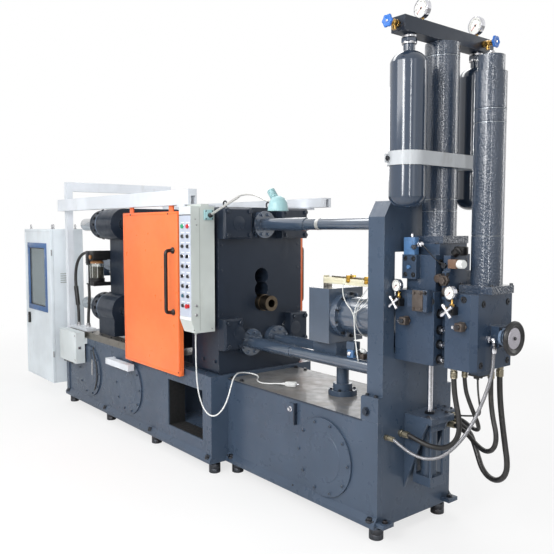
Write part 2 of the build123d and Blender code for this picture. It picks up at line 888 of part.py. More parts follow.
def shot_sleeve():
    """Shot sleeve in the lowest hole of the fixed platen, with its bore open at the end."""
    body = rod_x(sleeve_radius, fixed_back, fixed_face + sleeve_reach, 0, shot_axis_height)
    body += rod_x(
        sleeve_collar_radius, fixed_face, fixed_face + sleeve_collar_length, 0, shot_axis_height)
    body -= rod_x(
        sleeve_bore, fixed_back - overrun, fixed_face + sleeve_reach + overrun, 0, shot_axis_height)
    return body


def end_frame():
    """Upright plate at the injection end: chamfered top corners and a window for the shot end."""
    half = end_frame_half_width
    shoulder = end_frame_top - end_frame_chamfer_drop
    outline = Polyline(
        (-half, foot_height), (half, foot_height), (half, shoulder),
        (half - end_frame_chamfer, end_frame_top), (end_frame_chamfer - half, end_frame_top),
        (-half, shoulder), close=True)
    plate = extrude(across(-end_frame_thickness) * make_face(outline), amount=end_frame_thickness)
    plate -= block(
        -end_frame_thickness - overrun, overrun, -window_half_width, window_half_width,
        window_sill, window_head)
    for side in (-1, 1):
        clamp = block(
            -clamp_block_length, 0, side * half, side * base_half_width,
            base_top, base_top + clamp_block_height)
        top = clamp.faces().sort_by(Axis.Z)[-1]
        plate += chamfer(top.edges().sort_by(Axis.X)[0], clamp_block_chamfer)
    return plate


def shot_tie_rod(y, z):
    """One rod from the fixed platen to the end frame, with bolted round flanges."""
    rod = rod_x(rod_radius, fixed_face, -end_frame_thickness, y, z)
    rod += rod_x(rod_collar_radius, fixed_face, fixed_face + rod_collar_length, y, z)
    flange_end = fixed_face + rod_flange_depth
    rod += rod_x(rod_flange_radius, fixed_face, flange_end, y, z)
    frame_face = -end_frame_thickness
    rod += rod_x(rod_flange_radius, frame_face - rod_flange_depth, frame_face, y, z)
    for dy, dz in ring_points(rod_bolt_ring, rod_bolt_count, rod_bolt_turn):
        rod += rod_x(rod_bolt_radius, flange_end, flange_end + rod_bolt_height, y + dy, z + dz)
    return rod


def shot_tie_rods():
    """The upper rod and the two lower rods."""
    pieces = [shot_tie_rod(0, upper_rod_height)]
    for side in (-1, 1):
        pieces.append(shot_tie_rod(side * lower_rod_half_pitch, lower_rod_height))
    return apart(pieces)


def shot_front_block():
    """Front block of the shot cylinder with the end of its rod."""
    half = shot_block_half_width
    low = shot_axis_height - shot_block_low
    high = shot_axis_height + shot_block_high
    body = block(-shot_block_start, -shot_block_end, -half, half, low, high)
    rod_start = -shot_block_start - shot_rod_reach
    body += rod_x(shot_rod_radius, rod_start, -shot_block_start, 0, shot_axis_height)
    return body


def shot_cylinder():
    """Shot cylinder barrel with bolted flange, through the frame window to the left block."""
    z = shot_axis_height
    flange_end = -shot_block_end + shot_flange_depth
    body = rod_x(shot_flange_radius, -shot_block_end, flange_end, 0, z)
    body += rod_x(shot_barrel_radius, flange_end, 0, 0, z)
    tail_end = -end_frame_thickness
    body += rod_x(shot_tail_radius, tail_end - shot_tail_depth, tail_end, 0, z)
    for dy, dz in ring_points((shot_flange_radius + shot_barrel_radius) / 2, rod_bolt_count, rod_bolt_turn):
        body += rod_x(rod_bolt_radius, flange_end, flange_end + rod_bolt_height, dy, z + dz)
    return body


def sensor_rail():
    """Channel with the stroke switches' dogs, above the shot cylinder."""
    start = -shot_block_start
    low = shot_axis_height + shot_block_high + sensor_rail_lift
    half = sensor_rail_width / 2
    rail = block(start, start + sensor_rail_length, -half, half, low, low + sensor_rail_height)
    block_top = shot_axis_height + shot_block_high
    rail += block(start, start + sensor_foot_length, -half, half, block_top, low)
    end = start + sensor_rail_length
    barrel_top = shot_axis_height + shot_barrel_radius
    rail += block(end - sensor_foot_length, end, -half / 2, half / 2, barrel_top - dog_height / 2, low)
    rail -= rod_x(shot_barrel_radius, start, end + overrun, 0, shot_axis_height)
    top = low + sensor_rail_height
    for share in dog_shares:
        x = start + sensor_rail_length * share
        rail += block(x, x + dog_length, -half, half, top, top + dog_height)
    return rail


def cylinder_support():
    """Saddle under the shot cylinder on its jack column and flange, down to the base."""
    top = shot_axis_height - shot_block_low
    low = top - support_height
    half = support_half_width
    body = block(-support_start, -support_end, -half, half, low, top)
    body += rod_z(jack_radius, base_top, low, -jack_offset, 0)
    body += rod_z(jack_flange_radius, base_top, base_top + jack_flange_height, -jack_offset, 0)
    nut_top = base_top + jack_flange_height + jack_nut_height
    body += rod_z(jack_nut_radius, base_top, nut_top, -jack_offset, 0)
    return body


def left_manifold():
    """Left hydraulic block and the bolted neck that joins it to the right block."""
    half = left_block_half_width
    body = block(0, left_block_end, -half, half, block_low, block_high)
    body += block(
        left_block_end, right_block_start, -neck_half_width, neck_half_width,
        block_low + neck_margin, block_high - neck_margin)
    return body


def right_manifold():
    """Right hydraulic block with the boss for the handwheel and a small box under it."""
    half = right_block_half_width
    body = block(right_block_start, right_block_end, -half, half, block_low, block_high)
    face = body.faces().sort_by(Axis.X)[-1]
    body = chamfer(face.edges().filter_by(Axis.Z), right_block_chamfer)
    boss = wheel_boss_size / 2
    body += block(
        right_block_end, right_block_end + wheel_boss_depth, elbow_y + 2 * hose_c_radius, boss,
        wheel_hub_height - boss, wheel_hub_height + boss)
    stem_start = right_block_end + wheel_boss_depth
    body += rod_x(
        wheel_spindle_radius, stem_start, stem_start + wheel_stem_length, 0, wheel_hub_height)
    box_end = right_block_end - accumulator_base_margin
    body += block(
        box_end - lower_box_size, box_end, -left_block_half_width / 2, 0,
        block_low - lower_box_height, block_low)
    return body


def valve_stack():
    """Stepped valve bodies between the left block and the tall accumulator."""
    half = stack_half_width
    body = block(stack_start, stack_end, -half, half, block_high, stack_top - stack_step)
    inner = half - stack_step / 2
    body += block(stack_start, stack_end, -inner, inner, stack_top - stack_step, stack_top)
    pilot_low = block_high + pilot_lift
    pilot_high = pilot_low + pilot_height
    body += block(
        pilot_start, pilot_start + pilot_length, -half - pilot_reach, -half, pilot_low, pilot_high)
    inset = pilot_top_inset
    body += block(
        pilot_start + inset, pilot_start + pilot_length - inset, -half - pilot_reach, -half,
        pilot_high, pilot_high + pilot_top_height)
    neck_top = block_high - neck_margin
    neck_start = left_block_end + neck_valve_setback
    neck_end = right_block_start - neck_valve_setback
    valve_top = neck_top + neck_valve_height
    neck_valve = block(
        neck_start, neck_end, neck_valve_low, neck_valve_high, neck_top, valve_top)
    neck_valve += block(
        neck_start, neck_end, neck_cap_low, neck_cap_high, valve_top, valve_top + neck_cap_height)
    flange_end = flange_block_start + flange_block_length
    flange = block(
        flange_block_start, flange_end, -left_block_half_width - flange_block_depth,
        -left_block_half_width, flange_block_low, flange_block_low + flange_block_height)
    return apart([body, neck_valve, flange])


def accumulator(x, radius, low, high, seams):
    """A tall accumulator: round body with ring seams on a square foot."""
    foot = radius + accumulator_base_margin
    body = block(x - foot, x + foot, -foot, foot, low, low + accumulator_base_height)
    body += rod_z(radius, low + accumulator_base_height, high, x, 0)
    for z in seams:
        ring = rod_z(radius + overrun, z, z + seam_height, x, 0)
        body -= ring - rod_z(radius - seam_depth, z - overrun, z + seam_height + overrun, x, 0)
    return body


def accumulators():
    """The tall accumulator on the valve stack and the short one on the right block."""
    height_a = bar_low - stack_top
    seams_a = [stack_top + height_a * share for share in seam_a_shares]
    tall = accumulator(accumulator_a_x, accumulator_a_radius, stack_top, bar_low, seams_a)
    top_b = accumulator_b_top
    height_b = top_b - block_high
    seams_b = [block_high + height_b * share for share in seam_b_shares]
    short = accumulator(accumulator_b_x, accumulator_b_radius, block_high, top_b, seams_b)
    cap = accumulator_b_radius * cap_share
    short += rod_z(cap, top_b, top_b + accumulator_b_cap, accumulator_b_x, 0)
    return apart([tall, short])


def gas_bottle(y):
    """A gas bottle turned about its axis: round bottom, straight wall, shoulder and neck."""
    straight_low = bottle_bottom + bottle_radius * dome_rise_share
    low_out, low_up = dome_low_shares
    high_out, high_up = dome_high_shares
    dome_low = (bottle_radius * low_out, bottle_bottom + bottle_radius * low_up)
    dome_top = (bottle_radius * high_out, bottle_shoulder + bottle_radius * high_up)
    shoulder_top = bottle_shoulder + bottle_radius * shoulder_share
    low_curve = ThreePointArc((0, bottle_bottom), dome_low, (bottle_radius, straight_low))
    wall = Line((bottle_radius, straight_low), (bottle_radius, bottle_shoulder))
    high_curve = ThreePointArc(
        (bottle_radius, bottle_shoulder), dome_top, (bottle_neck_radius, shoulder_top))
    neck = Polyline(
        (bottle_neck_radius, shoulder_top), (bottle_neck_radius, bar_low), (0, bar_low), (0, bottle_bottom))
    outline = make_face(low_curve + wall + high_curve + neck)
    body = revolve(Plane.XZ * outline, Axis.Z)
    collar = Pos(0, 0, (shoulder_top + bar_low) / 2) * extrude(
        RegularPolygon(bottle_collar_radius, 6), amount=bottle_collar_radius / 2)
    return Pos(bottle_x, y, 0) * (body + collar)


def gas_bottles():
    """The near and far gas bottles hanging from the bar."""
    return apart([gas_bottle(-bottle_near_y), gas_bottle(bottle_far_y)])


def bottle_straps():
    """White clamp bands round the two bottles and the flat bar that joins them."""
    top = strap_low + strap_height
    bar_start = bottle_x + bottle_radius
    body = block(bar_start, bar_start + strap_thickness, -bottle_near_y, bottle_far_y, strap_low, top)
    for y in (-bottle_near_y, bottle_far_y):
        band = rod_z(bottle_radius + strap_thickness, strap_low, top, bottle_x, y)
        body += band
    for y in (-bottle_near_y, bottle_far_y):
        body -= rod_z(bottle_radius, strap_low - overrun, top + overrun, bottle_x, y)
    return body


def gas_bar():
    """Drilled bar across the top that joins the bottles to the tall accumulator."""
    middle = bottle_x
    start = middle - bar_half_depth
    return block(start, middle + bar_half_depth, -bar_near_y, bar_far_y, bar_low, bar_low + bar_height)


def gas_valves():
    """Brass shut-off valves on the bar and needle valves on the hydraulic blocks."""
    z = bar_low + bar_height / 2
    near = -bar_near_y
    pieces = [rod_y(valve_body_radius, near - valve_body_length, near, bottle_x, z)]
    end_x = bottle_x + bar_half_depth
    pieces.append(rod_x(valve_body_radius, end_x, end_x + valve_body_length, bottle_far_y, z))
    pieces.append(rod_y(valve_body_radius, bar_far_y, bar_far_y + valve_body_length / 2, bottle_x, z))
    half = needle_body_size / 2
    for x, face, height in needle_places():
        body = block(x - half, x + half, face - needle_body_size, face, height - half, height + half)
        stem_end = face - needle_body_size - needle_stem_length
        body += rod_y(needle_stem_radius, stem_end, face - needle_body_size, x, height)
        pieces.append(body)
    return apart(pieces)


def needle_places():
    """Where the two needle valves stand: x, the block's near face, and the height."""
    right_x = right_block_start + needle_right_inset
    return [
        (needle_left_inset, -left_block_half_width, block_high - needle_left_drop),
        (right_x, -right_block_half_width, block_high - needle_right_drop)]


def valve_wheel_near():
    """Handwheel of the shut-off valve at the near end of the bar."""
    z = bar_low + bar_height / 2
    end = -bar_near_y - valve_body_length - valve_gap
    return rod_y(valve_wheel_radius, end - valve_wheel_depth, end, bottle_x, z)


def valve_wheel_far():
    """Handwheel of the shut-off valve over the far bottle."""
    z = bar_low + bar_height / 2
    start = bottle_x + bar_half_depth + valve_body_length + valve_gap
    return rod_x(valve_wheel_radius, start, start + valve_wheel_depth, bottle_far_y, z)


def gauge(radius, depth, stem, x, y, low):
    """A dial gauge on its stem, facing the operator's end of the machine."""
    turn = Rot(0, 0, gauge_turn)
    z = low + stem + radius - gauge_stem_radius / 2
    dial = Pos(x, y, z) * turn * Rot(90, 0, 0) * Cylinder(radius, depth)
    return dial + rod_z(gauge_stem_radius, low, z, x, y)


def pressure_gauges():
    """Two gas gauges on the bar and two small gauges on the needle valves."""
    top = bar_low + bar_height
    pieces = []
    for y in (-bottle_near_y * near_gauge_share, bottle_far_y):
        pieces.append(gauge(gauge_radius, gauge_depth, gauge_stem_height, bottle_x, y, top))
    for x, face, height in needle_places():
        low = height + needle_body_size / 2
        y = face - needle_body_size * small_gauge_share
        pieces.append(gauge(small_gauge_radius, small_gauge_depth, small_stem_height, x, y, low))
    return apart(pieces)


def cross_handle(x, face, height):
    """Four-armed handle on a needle valve's stem."""
    end = face - needle_body_size - needle_stem_length - valve_gap
    hub = rod_y(cross_hub_radius, end - cross_hub_depth, end, x, height)
    y = end - cross_hub_depth / 2
    reach = cross_arm_length / 2
    hub += rod_x(cross_arm_radius, x - reach, x + reach, y, height)
    hub += rod_z(cross_arm_radius, height - reach, height + reach, x, y)
    return hub


def handwheel():
    """Handwheel on the right block: round rim, disc and hub."""
    start = right_block_end + wheel_boss_depth + wheel_stem_length + wheel_gap
    middle = start + wheel_disc_depth / 2
    rim_plane = Pos(middle, 0, wheel_hub_height) * Rot(0, 90, 0)
    rim = rim_plane * Torus(wheel_radius - wheel_rim_radius, wheel_rim_radius)
    disc = rod_x(wheel_radius - wheel_rim_radius, start, start + wheel_disc_depth, 0, wheel_hub_height)
    return rim + disc


def lift_cylinder():
    """Upright cylinder that raises the injection unit, with its rod up to the blocks."""
    half = lift_body_half
    body = rod_z(lift_barrel_radius, lift_body_low, lift_bracket_low, lift_x, 0)
    body += block(lift_x - half, lift_x + half, -half, half, lift_body_low, lift_body_low + lift_head_height)
    head_low = lift_bracket_low - lift_head_height
    body += block(lift_x - half, lift_x + half, -half, half, head_low, lift_bracket_low)
    corner = half - lift_rod_tie_radius
    for dx, dy in corner_points(corner, corner):
        body += rod_z(lift_rod_tie_radius, lift_body_low, lift_bracket_low, lift_x + dx, dy)
    return body


def lift_bracket():
    """Shelf with two gussets that holds the lifting cylinder on the end frame, and its rod."""
    top = lift_bracket_low + lift_bracket_height
    half = lift_bracket_half_width
    body = block(0, lift_bracket_reach, -half, half, lift_bracket_low, top)
    for side in (-1, 1):
        outer = side * half
        outline = Polyline(
            (0, lift_bracket_low), (lift_bracket_reach * gusset_share, lift_bracket_low),
            (0, lift_bracket_low - gusset_drop), close=True)
        web = extrude(Plane.XZ * make_face(outline), amount=gusset_thickness)
        shift = outer if side > 0 else outer + gusset_thickness
        body += Pos(0, shift, 0) * web
    body += rod_z(lift_rod_radius, top, block_low, lift_x, 0)
    return body


def hose_fittings():
    """Bulkhead block, ferrules and ports that the hoses run between."""
    pieces = []
    half = fitting_block_half_width + hose_a_radius
    top = fitting_block_low + fitting_block_height
    middle = fitting_block_y + hose_a_radius
    low = fitting_block_low - hose_a_radius
    pieces.append(block(0, fitting_block_length, middle - half, middle + half, low, top))
    for y, z, radius in block_ports:
        end = fitting_block_length + ferrule_length
        pieces.append(rod_x(radius + ferrule_margin, fitting_block_length, end, y, z))
    bulkhead = fused(pieces)
    loose = [bulkhead]
    for x, y, radius in top_ports:
        loose.append(rod_z(radius + ferrule_margin, port_drop, block_low, x, y))
    for y, z, radius in frame_ports:
        loose.append(rod_x(radius + ferrule_margin, 0, end_port_reach, y, z))
    elbow_radius = hose_c_radius + ferrule_margin
    elbow = rod_x(elbow_radius, right_block_end, elbow_x, elbow_y, elbow_z)
    elbow += Pos(elbow_x, elbow_y, elbow_z) * Sphere(elbow_radius)
    elbow += rod_z(elbow_radius, elbow_z - elbow_drop, elbow_z, elbow_x, elbow_y)
    loose.append(elbow)
    lube_radius = lube_hose_radius + ferrule_margin
    for y, z in pump_ports:
        loose.append(rod_x(lube_radius - overrun, pump_face - pump_port_reach, pump_face, y, z))
    for x, y in tray_ports:
        loose.append(rod_z(lube_radius, tray_top, tray_port_top, x, y))
    return apart(loose)


def button_box():
    """Push-button box: sheet housing with a slanted lower front and a cable gland."""
    near, far = -panel_near_y, -panel_far_y
    slant_top = panel_low + panel_slant_height
    outline = Polyline(
        (far, panel_low), (far, panel_high), (near, panel_high), (near, slant_top),
        (near + panel_slant_depth, panel_low), close=True)
    side = extrude(across(panel_start) * make_face(outline), amount=panel_length)
    gland = rod_z(
        gland_radius, panel_low - gland_length, panel_low, panel_start + gland_inset, near + gland_depth)
    hanger_y = -bed_half_width - guard_rail_width / 2
    half = hanger_width / 2
    hanger = block(
        panel_start - half, panel_end, hanger_y - half, hanger_y + half,
        panel_high, guard_rail_low)
    return side + gland + hanger


def push_buttons():
    """Two columns of push buttons and switches on the operator's face."""
    pieces = []
    middle = (panel_start + panel_end) / 2
    face = -panel_near_y
    for row in range(button_rows):
        z = panel_high - button_row_drop - row * button_row_pitch
        for side in (-1, 1):
            x = middle + side * button_column_pitch / 2
            pieces.append(rod_y(button_radius, face - button_height, face, x, z))
    return apart(pieces)


def work_lamp():
    """Work lamp: bracket on the box, bent arm and dome head that is open below."""
    face = panel_end
    half = lamp_bracket_size / 2
    body = block(
        face, face + lamp_bracket_depth, lamp_y - half, lamp_y + half,
        lamp_height - half, lamp_height + half)
    stub_top = lamp_head_z + lamp_head_radius + lamp_back_height
    points = [(face + lamp_bracket_depth / 2, lamp_y, lamp_height)]
    points += [(face + out, lamp_y, z) for out, z in zip(lamp_arm_reaches, lamp_arm_heights)]
    points.append((lamp_head_x, lamp_y, stub_top - lamp_back_height / 2))
    path = FilletPolyline(points, radius=lamp_bend)
    section = Plane(origin=path @ 0, z_dir=path % 0) * Circle(lamp_neck_radius)
    body += sweep(section, path=path)
    dome = Pos(lamp_head_x, lamp_y, lamp_head_z) * Sphere(lamp_head_radius)
    dome -= Pos(lamp_head_x, lamp_y, lamp_head_z) * Sphere(lamp_head_radius - lamp_head_wall)
    reach = 2 * lamp_head_radius
    dome -= block(
        lamp_head_x - reach, lamp_head_x + reach, lamp_y - reach, lamp_y + reach,
        lamp_head_z - reach, lamp_head_z)
    stub_low = lamp_head_z + lamp_head_radius - lamp_head_wall
    return body + dome + rod_z(lamp_back_radius, stub_low, stub_top, lamp_head_x, lamp_y)


def track(x0, x1, y, low):
    """The slot under a rail that the door's rollers run in."""
    return block(
        x0 + guard_post_size, x1 + overrun, y - track_half_width, y + track_half_width,
        low - overrun, low + track_depth)


def guard_frame():
    """White guard frame: posts, cross beam and the two rails that the doors hang from."""
    near_inner = -bed_half_width
    near_outer = near_inner - guard_rail_width
    rail_high = guard_rail_low + guard_rail_height
    beam_top = rail_high + cross_beam_lift + cross_beam_height
    post_end = post_start + guard_post_size
    far_end = rear_rail_y + guard_rail_width
    near = block(post_start, guard_rail_end, near_outer, near_inner, guard_rail_low, rail_high)
    near -= track(post_start, guard_rail_end, door_y, guard_rail_low)
    far_top = guard_rail_low + rear_rail_height
    far = block(post_start, rear_rail_end, rear_rail_y, far_end, guard_rail_low, far_top)
    far -= track(post_start, rear_rail_end, rear_door_y, guard_rail_low)
    near += block(post_start, post_end, near_inner, near_inner + guard_post_size, bed_top, beam_top)
    far += block(post_start, post_end, rear_rail_y, far_end, bed_top - rear_arm_height, beam_top)
    beam = block(post_start, post_end, near_inner, far_end, beam_top - cross_beam_height, beam_top)
    arm_near = bed_half_width + post_strip_depth
    arm = block(post_start, post_end, arm_near, far_end, bed_top - rear_arm_height, bed_top)
    frame = near + beam + far + arm
    plate_end = panel_start - hanger_width
    plate_start = plate_end - rail_bracket_length
    frame += block(plate_start, plate_end, near_outer, -tie_bar_half_pitch, platen_top, guard_rail_low)
    frame += block(plate_start, plate_end, tie_bar_half_pitch, far_end, platen_top, guard_rail_low)
    return frame


def sliding_door(plane_y):
    """A sheet door with the two roller hangers that it hangs from."""
    half = door_thickness / 2
    door = block(door_left, door_right, plane_y - half, plane_y + half, door_low, door_high)
    plate = hanger_thickness / 2
    for share in (hanger_share, 1 - hanger_share):
        x = door_left + door_length * share
        top = guard_rail_low + hanger_rise
        door += block(
            x - hanger_width / 2, x + hanger_width / 2, plane_y - plate, plane_y + plate,
            door_high, top)
        door += rod_y(roller_radius, plane_y - roller_half_width, plane_y + roller_half_width, x, top)
    return door


def door_handle(side, outer):
    """Tubular D handle on the outside of a door."""
    x = door_right - handle_inset
    high = handle_low + handle_span
    out = outer + side * handle_reach
    bend = handle_radius * 2
    corners = [(x, outer, handle_low), (x, out, handle_low), (x, out, high), (x, outer, high)]
    path = FilletPolyline(corners, radius=bend)
    section = Plane(origin=path @ 0, z_dir=path % 0) * Circle(handle_radius)
    handle = sweep(section, path=path)
    for z in (handle_low, high):
        handle += rod_y(handle_foot_radius, outer, outer + side * handle_foot_height, x, z)
    return handle


def cabinet():
    """Electrical cabinet: an open-fronted sheet box hung at the clamp end."""
    start = cabinet_start
    near = -cabinet_near_y + cabinet_door_thickness + cabinet_door_gap
    far = -cabinet_near_y + cabinet_depth
    wall = cabinet_wall
    body = block(start, cabinet_end, near, far, cabinet_low, cabinet_high)
    body -= block(
        start + wall, cabinet_end - wall, near - overrun, far - wall,
        cabinet_low + wall, cabinet_high - wall)
    return body


def cabinet_door():
    """Cabinet door with the framed window opening and its lever handle."""
    start = cabinet_start
    near = -cabinet_near_y
    back = near + cabinet_door_thickness
    door = block(start, cabinet_end, near, back, cabinet_low, cabinet_high)
    left = start + window_left_margin
    right = cabinet_end - window_right_margin
    door -= block(left, right, near - overrun, back + overrun, window_low, window_high)
    handle_x = start + window_left_margin + cabinet_handle_width
    half = cabinet_handle_width / 2
    door += block(
        handle_x - half, handle_x + half, near - cabinet_handle_depth, near,
        cabinet_handle_low, cabinet_handle_low + cabinet_handle_height)
    return door


def cabinet_window():
    """Framed window of the cabinet door: a raised frame round a thin pane."""
    left = cabinet_start + window_left_margin
    right = cabinet_end - window_right_margin
    near = -cabinet_near_y
    back = near + cabinet_door_thickness
    rim = window_frame_width
    frame = block(left, right, near - window_frame_proud, back, window_low, window_high)
    frame -= block(
        left + rim, right - rim, near - window_frame_proud - overrun, back + overrun,
        window_low + rim, window_high - rim)
    middle = near + cabinet_door_thickness / 2
    half = glass_thickness / 2
    return frame + block(
        left + rim, right - rim, middle - half, middle + half, window_low + rim, window_high - rim)


def junction_box():
    """Sheet junction box on feet that hold it clear of the round cover, at the clamp end."""
    x0 = bed_start + junction_start
    x1 = x0 + junction_length
    back = -bed_half_width - junction_standoff
    high = junction_low + junction_height
    box = block(x0, x1, back - junction_depth, back, junction_low, high)
    foot_low = foot_height + bed_cover_lift + cover_radius + door_gap_to_bed
    box += block(x0, x1, back, -bed_half_width, foot_low, bed_top)
    return box + block(x0, x0 + junction_foot_width, back, -bed_half_width, junction_low, bed_top)


def side_brackets():
    """Cable tray on the guide rail, door guide on the bed and arms that hold the cabinet."""
    face = -bed_half_width
    tray = block(
        rail_start, rail_start + tray_length, face, face + tray_width, rail_top, tray_top)
    guide_x = door_left - guide_lead
    guide_back = face - guide_standoff
    guide = block(
        guide_x, guide_x + guide_length, guide_back - guide_depth, guide_back,
        guide_low, guide_low + guide_height)
    guide_end = guide_x + guide_foot_length
    guide += block(guide_x, guide_end, guide_back, face, guide_low, guide_low + guide_height)
    pieces = [tray, guide]
    arm_far = cabinet_depth - cabinet_near_y - cabinet_wall
    for low in (bracket_low, bed_top - bracket_height):
        pieces.append(block(
            cabinet_end, bed_start, arm_far - bracket_width, arm_far, low, low + bracket_height))
    return apart(pieces)


def lube_pump():
    """Lubrication pump: dark base, clear jar and head on a plate behind the rear platen."""
    plate_near = -(pump_y + pump_radius)
    top = pump_low + pump_base_height + pump_jar_height + pump_head_height
    plate_back = rear_back - pump_plate
    plate_far = -(clamp_flange_radius + pump_margin)
    body = block(plate_back, rear_back, plate_near, plate_far, pump_low, top)
    x = plate_back - pump_head_half
    y = -pump_y
    body += rod_z(pump_radius, pump_low, pump_low + pump_base_height, x, y)
    jar_top = pump_low + pump_base_height + pump_jar_height
    body += rod_z(pump_radius * jar_share, pump_low + pump_base_height, jar_top, x, y)
    half = pump_head_half
    body += block(x - half, x + half, y - half, y + half, jar_top, top)
    return body


def flexible(points, radius):
    """A hose or cord along its route: straight runs joined by wide arcs."""
    corners = [Vector(*p) for p in points]
    radii = []
    for before, here, after in zip(corners, corners[1:], corners[2:]):
        first = here - before
        second = after - here
        half_turn = math.radians(first.get_angle(second)) / 2
        radii.append(bend_share * min(first.length, second.length) / math.tan(half_turn))
    path = FilletPolyline(points, radius=radii)
    section = Plane(origin=path @ 0, z_dir=path % 0) * Circle(radius)
    tube = sweep(section, path=path)
    print(f"  length {path.length:.0f}, tightest bend {min(radii):.0f}, diameter {2 * radius:.0f}")
    return tube


def plug():
    """Mains plug of the power cord, lying on the base."""
    x0, y0, z0 = cord_points[-1]
    x1, y1, z1 = cord_points[-2]
    turn = math.degrees(math.atan2(y0 - y1, x0 - x1))
    middle = base_top + plug_height / 2
    body = Pos(x0, y0, middle) * Rot(0, 0, turn) * Pos(plug_length / 2, 0, 0) * Box(
        plug_length, plug_width, plug_height)
    for side in (-1, 1):
        pin = Pos(x0, y0, middle) * Rot(0, 0, turn) * Pos(
            plug_length + plug_pin_length / 2, side * plug_width / 4, 0) * Rot(0, 90, 0) * Cylinder(
            plug_pin_radius, plug_pin_length)
        body += pin
    return body


left_needle, right_needle = needle_places()
nodes = {
    "clamp_bed": clamp_bed(),
    "injection_base": injection_base(),
    "inspection_covers": inspection_covers(),
    "levelling_feet": levelling_feet(),
    "guide_rails": guide_rails(),
    "fixed_platen": fixed_platen(),
    "moving_platen": moving_platen(),
    "rear_platen": rear_platen(),
    "tie_bars": tie_bars(),
    "tie_bar_nuts": tie_bar_nuts(),
    "toggle_links": toggle_links(),
    "clamp_cylinder": clamp_cylinder(),
    "shot_sleeve": shot_sleeve(),
    "end_frame": end_frame(),
    "shot_tie_rods": shot_tie_rods(),
    "shot_front_block": shot_front_block(),
    "shot_cylinder": shot_cylinder(),
    "sensor_rail": sensor_rail(),
    "cylinder_support": cylinder_support(),
    "left_manifold": left_manifold(),
    "right_manifold": right_manifold(),
    "valve_stack": valve_stack(),
    "accumulators": accumulators(),
    "gas_bottles": gas_bottles(),
    "bottle_straps": bottle_straps(),
    "gas_bar": gas_bar(),
    "gas_valves": gas_valves(),
    "valve_wheel_near": valve_wheel_near(),
    "valve_wheel_far": valve_wheel_far(),
    "pressure_gauges": pressure_gauges(),
    "cross_handle_left": cross_handle(*left_needle),
    "cross_handle_right": cross_handle(*right_needle),
    "handwheel": handwheel(),
    "lift_cylinder": lift_cylinder(),
    "lift_bracket": lift_bracket(),
    "hose_fittings": hose_fittings(),
    "button_box": button_box(),
    "push_buttons": push_buttons(),
    "work_lamp": work_lamp(),
    "guard_frame": guard_frame(),
    "front_door": sliding_door(door_y),
    "front_door_handle": door_handle(-1, door_y - door_thickness / 2),
    "rear_door": sliding_door(rear_door_y),
    "rear_door_handle": door_handle(1, rear_door_y + door_thickness / 2),
    "cabinet": cabinet(),
    "cabinet_door": cabinet_door(),
    "cabinet_window": cabinet_window(),
    "junction_box": junction_box(),
    "side_brackets": side_brackets(),
    "lube_pump": lube_pump(),
}
cords = {
    "hose_a": flexible(hose_a_points, hose_a_radius),
    "hose_b": flexible(hose_b_points, hose_b_radius),
    "hose_c": flexible(hose_c_points, hose_c_radius),
    "hose_d": flexible(hose_d_points, hose_d_radius),
    "hose_e": flexible(hose_e_points, hose_e_radius),
    "cable_f": flexible(cable_f_points, cable_f_radius),
    "lube_hose_near": flexible(lube_hose_near_points, lube_hose_radius),
    "lube_hose_far": flexible(lube_hose_far_points, lube_hose_radius),
    "power_cord": flexible(cord_points, cord_radius),
    "power_plug": plug(),
}

# The origin goes under the middle of the machine, without its cords
corners = [piece.bounding_box() for piece in nodes.values()]
shift_x = -(min(c.min.X for c in corners) + max(c.max.X for c in corners)) / 2
shift_y = -(min(c.min.Y for c in corners) + max(c.max.Y for c in corners)) / 2
print(f"shift {shift_x:.3f} {shift_y:.3f}")
os.makedirs("parts", exist_ok=True)
for name, piece in {**nodes, **cords}.items():
    export_step(Pos(shift_x, shift_y, 0) * piece, f"parts/{name}.step")
print(len(nodes) + len(cords), "nodes")
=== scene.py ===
import math

import bmesh
import bpy
from bpy.props import FloatProperty, FloatVectorProperty, PointerProperty
from mathutils import Color, Euler, Matrix, Vector


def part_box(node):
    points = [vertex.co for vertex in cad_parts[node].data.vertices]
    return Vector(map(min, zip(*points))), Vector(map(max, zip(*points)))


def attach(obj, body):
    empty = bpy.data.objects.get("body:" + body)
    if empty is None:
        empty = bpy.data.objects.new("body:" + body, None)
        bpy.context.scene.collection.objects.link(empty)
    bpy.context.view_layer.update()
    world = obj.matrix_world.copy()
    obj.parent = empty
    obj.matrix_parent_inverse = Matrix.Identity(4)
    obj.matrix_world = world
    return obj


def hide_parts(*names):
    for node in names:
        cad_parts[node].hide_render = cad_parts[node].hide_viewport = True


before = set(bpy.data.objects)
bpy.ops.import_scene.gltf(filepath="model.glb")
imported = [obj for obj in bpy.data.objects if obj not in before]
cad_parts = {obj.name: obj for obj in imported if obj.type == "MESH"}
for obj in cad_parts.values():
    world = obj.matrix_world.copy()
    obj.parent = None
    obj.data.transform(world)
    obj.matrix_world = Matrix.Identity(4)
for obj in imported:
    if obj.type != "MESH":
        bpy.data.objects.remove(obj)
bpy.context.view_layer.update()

bl_info = {
    "name": "Die casting machine",
    "version": (1, 0, 0),
    "blender": (4, 5, 0),
    "location": "View3D > Sidebar > Casting machine",
    "description": "Finishes and fittings of a cold-chamber die casting machine",
    "category": "Object",
}

MM = 0.001

# Datum of the machine: the outer face of the injection end frame, on the centreline
END_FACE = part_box("end_frame")[1][0]
CENTRE = (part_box("end_frame")[0][1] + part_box("end_frame")[1][1]) / 2


def place(x, y, z):
    """A point given in millimetres from the datum and the floor, in the frame's metres."""
    return Vector((END_FACE + x * MM, CENTRE + y * MM, z * MM))


def span(node):
    """Lowest and highest corner of a CAD node, in millimetres from the datum."""
    low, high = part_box(node)
    datum = Vector((END_FACE, CENTRE, 0))
    return (Vector(low) - datum) / MM, (Vector(high) - datum) / MM


def middle(node):
    """Centre of a CAD node's box, in millimetres from the datum."""
    low, high = span(node)
    return (low + high) / 2


